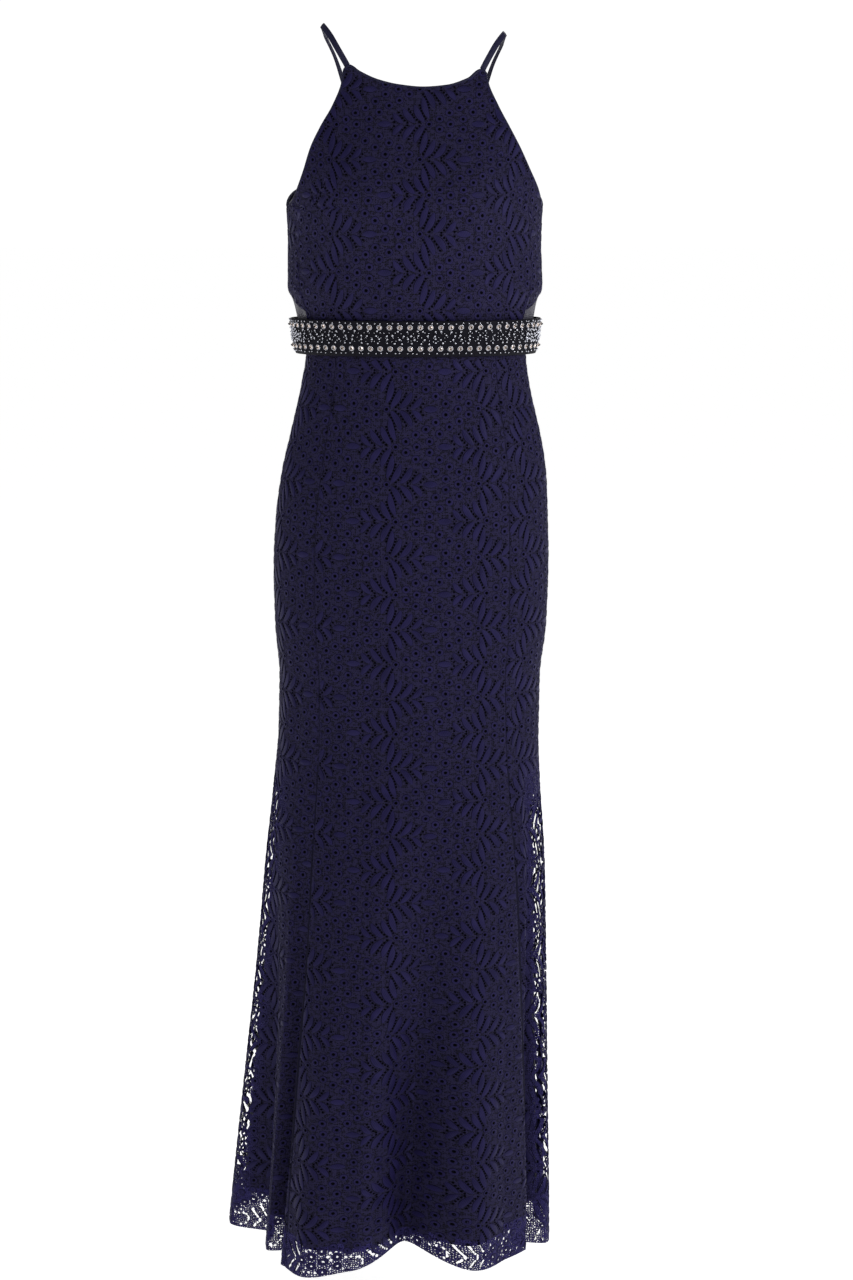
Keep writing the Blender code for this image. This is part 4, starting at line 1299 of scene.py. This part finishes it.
def simplePanel(name, left, right, top, hem, lace, thickness, grain, grid, laceShift=0.0, **more):
    # a panel without a sheer stretch
    panel = {
        "name": name, "surface": wornSurface, "grainSurface": wornSurface, "grain": grain,
        "left": left, "right": right, "top": top, "hem": hem, "lace": lace,
        "thickness": thickness, "laceShift": laceShift, "bare": np.zeros(grid, bool), **more,
    }
    layOut(panel)
    spread(panel, *grid)
    return panel


def wholeShell(panel, suffix, materials, insideMaterial=0):
    shell = wholeFaces(panel["outer"], panel["inner"], panel["uv"])
    return clothMesh(panel["name"] + suffix, [shell], materials, insideMaterial)


print("bodice")
seamHalf = 0.5 * seamGap
zipEdge = form["zipHalf"] + form["zipClear"]
insetShape = {"from": 64.5, "to": 115.5, "wall": 0.0007, "grid": (14, 44)}


def bodiceFront():
    return simplePanel(
        "bodice_front",
        lambda z: -armholeAngle(-1, z) + degreesOf(seamHalf, z),
        lambda z: armholeAngle(1, z) - degreesOf(seamHalf, z),
        lambda share: readTable(form["neckline"], 1, 2 * share - 1),
        lambda share: straightTable(form["cutout"], 1, np.abs(2 * share - 1) * form["sideSeam"]),
        bodiceLace, bodiceShape["wall"], plumbGrain(bodiceShape["frontPlumb"]),
        bodiceShape["frontGrid"])


def bodiceBack(name, way):
    # one half of the back, from the side seam to the zip; way is -1 for the left one
    def sideEdge(z):
        return way * (form["sideSeam"] + degreesOf(seamHalf, z))

    def zipEdgeAt(z):
        return way * (form["backSeam"] - degreesOf(zipEdge, z))

    def fromFront(share):
        return 180 - 90 * share if way < 0 else 90 + 90 * share

    return simplePanel(
        name, zipEdgeAt if way < 0 else sideEdge, sideEdge if way < 0 else zipEdgeAt,
        lambda share: readTable(form["backTop"], 1, fromFront(share)),
        lambda share: straightTable(form["cutout"], 1, 180 - fromFront(share)),
        bodiceLace, bodiceShape["wall"], lambda z: way * bodiceShape["backGrain"] + 0 * z,
        bodiceShape["backGrid"], bodiceShape["backLaceShift"] * way)


def netInset(name, way):
    # the net in the side cut-out, from the bodice's lower edge to the belt
    first, last = sorted((way * insetShape["from"], way * insetShape["to"]))

    def top(share):
        angle = insetShape["from"] + (insetShape["to"] - insetShape["from"]) * share
        folded = form["sideSeam"] - np.abs(angle - form["sideSeam"])
        return straightTable(form["cutout"], 1, folded) - seamGap

    return simplePanel(
        name, lambda z: first + degreesOf(seamGap, z), lambda z: last - degreesOf(seamGap, z),
        top, lambda share: form["waistZ"] + 0 * share, bodiceLace, insetShape["wall"],
        lambda z: way * form["sideSeam"] + 0 * z, insetShape["grid"], roll=0.0)


bodice = bodiceFront()
dressPanel(bodice, wholeShell(bodice, "_lace", [netGround, shadedLiningSatin], 1))
backs = {}
for side, way in (("left", -1), ("right", 1)):
    backs[side] = bodiceBack("bodice_back_" + side, way)
    cloth = wholeShell(backs[side], "_lace", [netGround, shadedLiningSatin], 1)
    dressPanel(backs[side], cloth)
    inset = wholeShell(netInset("mesh_inset_" + side, way), "_tulle", [tulle])
    ofDress([inset], "mesh_inset_" + side)

print("lining")
liningShape = {
    "rows": 50, "columns": 112, "wall": 0.0010,
    # how far in from its surface it hangs, how low its slit behind the zip goes, and the length of
    # a degree round it
    "behind": 0.0001, "slitEnd": -0.52, "degree": 0.0026,
}


def skirtLining():
    share, down = gridShares(liningShape["rows"], liningShape["columns"])
    top = form["waistZ"] - seamGap
    angle = -180 + 360 * share
    z = top + (readTable(form["hems"], 2, angle) - top) * down
    edge = 180 - degreesOf(np.where(z > liningShape["slitEnd"], zipEdge, 0.0), z)
    angle = np.clip(angle, -edge, edge)
    n = normalOf(liningSurface, angle, z)
    outer = liningSurface(angle, z) - n * liningShape["behind"]
    uv = np.stack([angle * liningShape["degree"], z], axis=-1)
    shell = wholeFaces(outer, outer - n * liningShape["wall"], uv)
    return clothMesh("skirt_lining_satin", [shell], [litLiningFace, shadedLiningSatin], 1)


lining = skirtLining()
ofDress([lining], "skirt_lining")

print("straps and bindings")
strapShape = {
    "path": ((0.0850, -0.0400, -0.0270), (0.0945, -0.0260, -0.0110), (0.1030, -0.0040, 0.0000),
             (0.1010, 0.0220, -0.0090), (0.0900, 0.0460, -0.0340), (0.0760, 0.0660, -0.0800),
             (0.0650, 0.0820, -0.1300)),
    "footShare": 0.955, "footClear": 0.0012, "backAngle": 155.0, "liftLeft": 0.0030,
    "liftRight": -0.0060, "footSunk": 0.0010, "width": 0.0070, "wall": 0.0018, "steps": 90,
    # which way its flat face looks on its way over the shoulder: aside, front to back, up
    "aside": 0.45, "turned": 0.9, "tilt": 0.35,
    # across and through, as shares of the half width and half wall: round edges, a soft crown
    # and a stitched line each side
    "profile": ((-1.0, 0.0), (-0.95, 0.55), (-0.8, 0.85), (-0.72, 0.70), (-0.62, 0.9), (0, 1.15),
                (0.62, 0.9), (0.72, 0.70), (0.8, 0.85), (0.95, 0.55), (1.0, 0.0), (0.9, -0.6),
                (0.6, -0.85), (0.0, -0.9), (-0.6, -0.85), (-0.9, -0.6)),
}


def strapLine(side):
    footZ = readTable(form["neckline"], 1, side * strapShape["footShare"]) + strapShape["footClear"]
    footAngle = side * strapShape["footShare"] * armholeAngle(side, footZ)
    backZ = readTable(form["backTop"], 1, strapShape["backAngle"]) + strapShape["footClear"]
    ends = []
    for angle, z in ((footAngle, footZ), (side * strapShape["backAngle"], backZ)):
        angle, z = float(angle), float(z)
        n = normalOf(wornSurface, np.array(angle), np.array(z))
        ends.append(wornSurface(angle, z) - n * strapShape["footSunk"])
    lift = strapShape["liftLeft"] if side < 0 else strapShape["liftRight"]
    path = [ends[0]] + [np.array((side * x, y, z + lift)) for x, y, z in strapShape["path"]]
    path = np.array(path + [ends[1]])
    run = runAlong(path)
    table = [(s, *p) for s, p in zip(run, path)]
    at = np.linspace(0, run[-1], strapShape["steps"] + 1)
    return np.stack([readTable(table, k, at) for k in (1, 2, 3)], axis=1), at


def sweep(name, line, run, across, out, profile, width, thick, material):
    # a closed roll of one profile along a line of points
    ring = len(profile)
    points = [p + across[k] * u * width / 2 + out[k] * v * thick / 2
              for k, p in enumerate(line) for u, v in profile]
    uv = [(u * width / 2, run[k]) for k in range(len(line)) for u, v in profile]
    faces = [(k * ring + j, k * ring + (j + 1) % ring, (k + 1) * ring + (j + 1) % ring,
              (k + 1) * ring + j) for k in range(len(line) - 1) for j in range(ring)]
    faces.append(tuple(range(ring - 1, -1, -1)))
    faces.append(tuple((len(line) - 1) * ring + j for j in range(ring)))
    return makePiece(name, np.array(points), faces, np.array(uv), [material])


def strapMesh(name, side):
    # a turned bias tube pressed flat
    line, run = strapLine(side)
    along = unit(np.gradient(line, axis=0))
    turnShare = np.linspace(0, 1, len(line))
    out = np.stack([np.full(len(line), side * strapShape["aside"]),
                    np.sin(np.pi * (turnShare - 0.5) * strapShape["turned"]),
                    np.full(len(line), strapShape["tilt"])], axis=1)
    across = unit(np.cross(along, out))
    return sweep(name, line, run, across, np.cross(across, along), strapShape["profile"],
                 strapShape["width"], strapShape["wall"], biasSatin)


for side, way in (("left", -1), ("right", 1)):
    strap = strapMesh("strap_" + side + "_satin", way)
    ofDress([strap], "strap_" + side)

# the satin folded over an edge, and the allowance pressed behind a seam: "deep" is how far behind
# the cloth's face it lies, "clear" and "aboveHem" how far from each end it stops
bindingShape = {"width": 0.0036, "thick": 0.0030}
seamShape = {
    "width": 0.0070, "deep": 0.0011, "thick": 0.0006, "step": 0.012, "clear": 0.0020,
    "aboveHem": 0.0015, "sideWidth": 0.0080, "sideDeep": 0.0018, "sideEnd": -0.2935,
}


def rollAlong(name, line, normals, width, thick, material):
    # a thin binding along a line of points on the cloth
    across = np.cross(normals, unit(np.gradient(line, axis=0)))
    profile = [(math.cos(t), math.sin(t)) for t in np.linspace(0, 2 * math.pi, 11)[:-1]]
    piece = sweep(name, line, runAlong(line), across, normals, profile, width, thick, material)
    ofDress([piece])


def edgeBinding(name, panel, edge):
    # along one edge of a panel's grid, over the shell's middle
    pick = {"top": (0, slice(None)), "left": (slice(None), 0), "right": (slice(None), -1)}[edge]
    outer, inner, n = panel["outer"][pick], panel["inner"][pick], panel["normals"][pick]
    if edge != "top":
        high = panel["z"][pick] > form["underarmZ"] + 0.001
        outer, inner, n = outer[high], inner[high], n[high]
    rollAlong(name, 0.5 * (outer + inner), n, bindingShape["width"], bindingShape["thick"],
              biasSatin)


for edge in ("top", "left", "right"):
    edgeBinding("binding_front_" + edge, bodice, edge)
for side in ("left", "right"):
    edgeBinding("binding_back_" + side, backs[side], "top")


def seamTape(name, seam, top, low, width, deep):
    # the pressed and overlocked seam allowance behind a seam
    z = np.linspace(top, low, max(8, round((top - low) / seamShape["step"])))
    angle = np.array([float(seamAngle(seam, h)) for h in z])
    n = normalOf(wornSurface, angle, z)
    line = wornSurface(angle, z) + (creases(angle, z) - deep)[:, None] * n
    rollAlong(name, line, n, width, seamShape["thick"], seamBinding)


for name, seam, top in (
    ("seam_front_left", "left", form["waistZ"]), ("seam_front_right", "right", form["waistZ"]),
    ("seam_side_left", -90.0, form["waistZ"]), ("seam_side_right", 90.0, form["waistZ"]),
    ("seam_back", 180.0, liningShape["slitEnd"]),
):
    low = float(readTable(form["hems"], 1, float(seamAngle(seam, form["hemZ"]))))
    seamTape(name, seam, top - seamShape["clear"], low + seamShape["aboveHem"],
             seamShape["width"], seamShape["deep"])
for side, way in (("left", -1), ("right", 1)):
    seamTape("seam_bodice_" + side, way * form["sideSeam"], form["underarmZ"] - seamShape["clear"],
             seamShape["sideEnd"], seamShape["sideWidth"], seamShape["sideDeep"])


print("belt and beads")
beltShape = {
    "wall": 0.0020, "crystalsInRow": 66, "crystalRows": (-0.3320, -0.3560),
    "crystalRadius": 3.10, "cupHeight": 1.0, "crownHeight": 2.2, "tableShare": 0.46, "facets": 10,
    # height and bead radius of each row of small beads, and the space between them
    "beadRows": ((-0.3272, 1.00, 0.0072), (-0.3363, 1.35, 0.0104), (-0.3410, 1.40, 0.0100),
                 (-0.3452, 1.40, 0.0104), (-0.3498, 1.30, 0.0100), (-0.3612, 1.00, 0.0072),
                 (-0.3432, 0.75, 0.0060), (-0.3384, 0.70, 0.0064), (-0.3474, 0.70, 0.0062)),
    "sideBeads": 260, "seed": 11,
    "grid": (14, 240), "edgeRoll": 0.0007, "edgeRollWide": 0.0012,
    # the band's length, the length of a degree of it, and the height it is measured at
    "length": 0.780, "degree": 0.0025, "middleZ": -0.3455,
    # how far a row's beads wander, as a share of their space, and in height, and their sizes
    "wander": 0.28, "wanderZ": 0.0006, "beadSizes": (0.85, 1.1),
    # angles, heights and sizes of the loose beads at each side
    "sideAngles": (62, 118), "sideHeights": (-0.3515, -0.3290), "sideSizes": (0.8, 1.35),
    # millimetres kept free round a crystal, and round a bead to its radius
    "crystalSpace": 3.3, "beadSpace": 0.55,
}


def beltBand():
    share, down = gridShares(*beltShape["grid"])
    ends = 180 - float(degreesOf(seamGap, form["beltTopZ"]))
    angle = -ends + 2 * ends * share
    z = form["beltTopZ"] + (form["beltBottomZ"] - form["beltTopZ"]) * down
    n = normalOf(beltSurface, angle, z)
    fromEdge = np.minimum(down, 1 - down) * (form["beltTopZ"] - form["beltBottomZ"])
    roll = beltShape["edgeRoll"] * np.exp(-(fromEdge / beltShape["edgeRollWide"]) ** 2)
    outer = beltSurface(angle, z) - n * roll[..., None]
    uv = np.stack([angle * beltShape["degree"], z], axis=-1)
    shell = wholeFaces(outer, outer - n * beltShape["wall"], uv)
    return clothMesh("belt_band", [shell], [bandRibbon, shadedLiningSatin], 1)


def framesOn(surface, angle, z, lift=0.0):
    # origin and axes of small things set on a surface
    angle, z = np.asarray(angle, float), np.asarray(z, float)
    n = normalOf(surface, angle, z)
    up = unit(np.array([0, 0, 1.0]) - n * n[:, 2:3])
    return surface(angle, z) + n * lift, np.cross(up, n), up, n


def setMany(name, shape, frames, material, turns=None, sizes=None, smooth=True):
    # one joined mesh from many copies of a small shape given in millimetres
    points, faces = np.array(shape[0], float) / 1000, shape[1]
    origin, across, up, n = frames
    count = len(origin)
    turns = np.zeros(count) if turns is None else turns
    sizes = np.ones(count) if sizes is None else sizes
    c, s = np.cos(turns)[:, None], np.sin(turns)[:, None]
    x = (points[None, :, 0] * c - points[None, :, 1] * s) * sizes[:, None]
    y = (points[None, :, 0] * s + points[None, :, 1] * c) * sizes[:, None]
    h = points[None, :, 2] * sizes[:, None]
    place = (origin[:, None] + across[:, None] * x[..., None] + up[:, None] * y[..., None]
             + n[:, None] * h[..., None])
    place = place.reshape(-1, 3)
    polygons = [tuple(i + k * len(points) for i in face) for k in range(count) for face in faces]
    return makePiece(name, place, polygons, place[:, (0, 2)], [material], smooth=smooth)


def turned(profile, sides, capped=True):
    # a small turned shape: (radius, height) from its foot to its crown, in millimetres
    points, faces = [], []
    for radius, h in profile:
        for k in range(sides):
            t = 2 * math.pi * (k + 0.5) / sides
            points.append((radius * math.cos(t), radius * math.sin(t), h))
    for j in range(len(profile) - 1):
        for k in range(sides):
            n = (k + 1) % sides
            faces.append((j * sides + k, j * sides + n, (j + 1) * sides + n, (j + 1) * sides + k))
    if capped:
        faces.append(tuple((len(profile) - 1) * sides + k for k in range(sides)))
    return points, faces


def ballShape(radius, sides=9, rings=5, sink=0.25):
    # a ball without its very foot and crown, sunk by a share of its radius
    low, high = 0.42, 0.47
    profile = []
    for k in range(rings + 1):
        t = -low * math.pi + (low + high) * math.pi * k / rings
        profile.append((radius * math.cos(t), radius * (math.sin(t) + 1 - sink)))
    return turned(profile, sides)


belt = beltBand()
rng = np.random.default_rng(beltShape["seed"])


def aroundBelt(share):
    # even steps along the band, as angles
    angle = np.linspace(-180, 180, 1441)
    run = runAlong(beltSurface(angle, np.full(len(angle), beltShape["middleZ"])))
    return np.interp(share * run[-1], run, angle)


steps = (np.arange(beltShape["crystalsInRow"]) * 2 + 1) / (2 * beltShape["crystalsInRow"])
crystalAngles = aroundBelt(np.concatenate([steps] * 2))
crystalHeights = np.repeat(beltShape["crystalRows"], beltShape["crystalsInRow"])
seats = framesOn(beltSurface, crystalAngles, crystalHeights, -0.0002)
spin = rng.uniform(0, math.pi, len(crystalAngles))
r = beltShape["crystalRadius"]
h0, h1 = beltShape["cupHeight"], beltShape["crownHeight"]
cup = turned([(0.98 * r, -0.2), (1.02 * r, 0.5 * h0), (1.0 * r, h0), (0.86 * r, 1.12 * h0),
              (0.80 * r, 0.9 * h0)], 14, False)
crown = turned([(0.78 * r, 0.7 * h0), (0.74 * r, 1.20 * h0), (0.60 * r, 0.84 * h1),
                (beltShape["tableShare"] * r, h1)], beltShape["facets"])
centre = ballShape(1.10, 8, 4, 0.6)
beltPieces = [
    setMany("belt_crystal_cups", cup, seats, silverPlate, spin),
    setMany("belt_crystals", crown, seats, cutGlass, spin, smooth=False),
    setMany("belt_crystal_centres", centre,
            (seats[0] + seats[3] * (h1 - 0.1) / 1000, *seats[1:]), bronzeBead),
]
beadAngle, beadZ, beadSize = [], [], []
wander, wanderZ = beltShape["wander"], beltShape["wanderZ"]
for z, radius, space in beltShape["beadRows"]:
    count = round(beltShape["length"] / space)
    at = np.arange(count) + 0.5 + rng.uniform(-wander, wander, count)
    beadAngle.append(aroundBelt(at / count))
    beadZ.append(z + rng.uniform(-wanderZ, wanderZ, count))
    beadSize.append(radius * rng.uniform(*beltShape["beadSizes"], count))
count = beltShape["sideBeads"]
beadAngle.append(rng.choice((-1, 1), count) * rng.uniform(*beltShape["sideAngles"], count))
beadZ.append(rng.uniform(*beltShape["sideHeights"], count))
beadSize.append(rng.uniform(*beltShape["sideSizes"], count))
beadAngle, beadZ, beadSize = (np.concatenate(x) for x in (beadAngle, beadZ, beadSize))
beadPlace = beltSurface(beadAngle, beadZ)
# the greatest beads are placed first, and one that would touch another is left out
taken = [(p, beltShape["crystalSpace"] / 1000) for p in seats[0]]
keep = []
for k in np.argsort(-beadSize):
    reach = beltShape["beadSpace"] * beadSize[k] / 1000
    if all(np.linalg.norm(beadPlace[k] - p) > other + reach for p, other in taken):
        taken.append((beadPlace[k], reach))
        keep.append(k)
keep = np.array(sorted(keep))
beltPieces.append(setMany(
    "belt_beads", ballShape(1.0, 7, 4), framesOn(beltSurface, beadAngle[keep], beadZ[keep]),
    silverPlate, sizes=beadSize[keep]))
ofDress([belt, *beltPieces], "belt")

print("zip")
zipShape = {
    "end": -0.5165, "tape": 0.0009, "sunk": 0.0004, "lean": 0.0006, "grid": (90, 3),
    # the tapes' inner edges stay so far apart, as a share of the opening's half width
    "apart": 0.10,
    "toothPitch": 0.0014, "toothTurn": 0.22, "coilSunk": 0.0009, "topClear": 0.004,
    "lowClear": 0.002,
    # half width, half height, foot and crown of a tooth, in millimetres
    "tooth": (0.9, 0.35, -0.5, 0.35),
}


def zipTapes(top):
    # two tape edges that meet over the coil
    shells = []
    for way in (-1, 1):
        share, down = gridShares(*zipShape["grid"], zipShape["apart"])
        if way < 0:
            share = share[:, ::-1]
        z = top + (zipShape["end"] - top) * down
        angle = 180 + way * share * degreesOf(form["zipHalf"], z)
        n = normalOf(wornSurface, angle, z)
        drop = zipShape["sunk"] + zipShape["lean"] * (1 - share) ** 2
        outer = wornSurface(angle, z) - n * drop[..., None]
        uv = np.stack([share * form["zipHalf"], z], axis=-1)
        shells.append(wholeFaces(outer, outer - n * zipShape["tape"], uv))
    return clothMesh("zip_tapes", shells, [zipTape])


def zipCoil(top):
    z = np.arange(top - zipShape["topClear"], zipShape["end"] + zipShape["lowClear"],
                  -zipShape["toothPitch"])
    wide, high, foot, crown = zipShape["tooth"]
    corners = ((-wide, -high), (wide, -high), (wide, high), (-wide, high))
    tooth = ([(x, y, h) for h in (foot, crown) for x, y in corners],
             [(4, 5, 6, 7), (0, 1, 5, 4), (1, 2, 6, 5), (2, 3, 7, 6), (3, 0, 4, 7), (3, 2, 1, 0)])
    turns = np.where(np.arange(len(z)) % 2, zipShape["toothTurn"], -zipShape["toothTurn"])
    seats = framesOn(wornSurface, 180 + 0 * z, z, -zipShape["coilSunk"])
    return setMany("zip_coil", tooth, seats, coilNylon, turns, smooth=False)


backEdge = float(readTable(form["backTop"], 1, form["backSeam"]))
tapes, coil = zipTapes(backEdge), zipCoil(backEdge)
ofDress([tapes, coil], "zip_strip")
for node in ("zip_slider", "zip_pull"):
    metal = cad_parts[node].data.materials
    metal.clear()
    metal.append(paintedZinc)

print("camera, light and floor")
# place in metres, tilt in degrees from straight down, focal length and sensor in millimetres
shot = {"place": (0.0146, -3.5, -0.170), "tilt": 81.4, "lens": 85.47, "sensor": 36.0}
camera = bpy.data.objects.new("camera", bpy.data.cameras.new("camera"))
bpy.context.scene.collection.objects.link(camera)
camera.location = shot["place"]
camera.rotation_euler = (math.radians(shot["tilt"]), 0, 0)
camera.data.lens = shot["lens"]
camera.data.sensor_width = shot["sensor"]
bpy.context.scene.camera = camera
bpy.context.scene.view_settings.view_transform = "Standard"

studio = {
    "floorZ": -1.52, "floorSize": 60.0, "floorGlow": 0.80, "worldLight": 0.22, "seenLight": 1.05,
    # place, size, watts and what the light is aimed at
    "lamps": (
        ("right", (2.3, -1.0, 0.2), 1.2, 26, (0, 0, -0.4)),
        ("left", (-1.7, -2.2, 0.8), 1.4, 8, (0, 0, -0.4)),
        ("top", (0.2, -1.5, 1.7), 1.2, 10, (0, 0, -0.4)),
        ("back", (0.4, 3.0, 0.9), 2.0, 20, (0, 0, -0.6)),
    ),
}
for name, place, size, watts, aim in studio["lamps"]:
    lamp = bpy.data.objects.new("lamp_" + name, bpy.data.lights.new("lamp_" + name, "AREA"))
    bpy.context.scene.collection.objects.link(lamp)
    lamp.data.shape = "DISK"
    lamp.data.size = size
    lamp.data.energy = watts
    lamp.location = place
    lamp.rotation_mode = "QUATERNION"
    lamp.rotation_quaternion = (Vector(aim) - Vector(place)).to_track_quat("-Z", "Y")

world = bpy.data.worlds.new("studio white")
bpy.context.scene.world = world
world.use_nodes = True
tree = world.node_tree
lit = tree.nodes["Background"]
lit.inputs["Color"].default_value = srgb("#ffffff")
lit.inputs["Strength"].default_value = studio["worldLight"]
seen = addNode(tree, "ShaderNodeBackground",
               {"Color": srgb("#ffffff"), "Strength": studio["seenLight"]})
path = addNode(tree, "ShaderNodeLightPath")
mixed = addNode(tree, "ShaderNodeMixShader", None,
                {0: path.outputs["Is Camera Ray"], 1: lit.outputs[0], 2: seen.outputs[0]})
tree.links.new(mixed.outputs[0], tree.nodes["World Output"].inputs["Surface"])

bpy.ops.mesh.primitive_circle_add(vertices=96, radius=studio["floorSize"], fill_type="NGON",
                                  location=(0, 0, studio["floorZ"]))
floor = bpy.context.object
floor.name = "floor"
# matt white vinyl, evenly lit from below the horizon line: it reads as plain white
paper, tree, shader = newMaterial(
    "matt white vinyl", Roughness=0.9, Emission_Strength=studio["floorGlow"])
shader.inputs["Base Color"].default_value = srgb("#f4f4f4")
shader.inputs["Emission Color"].default_value = srgb("#ffffff")
floor.data.materials.append(paper)
floor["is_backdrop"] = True

low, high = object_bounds()
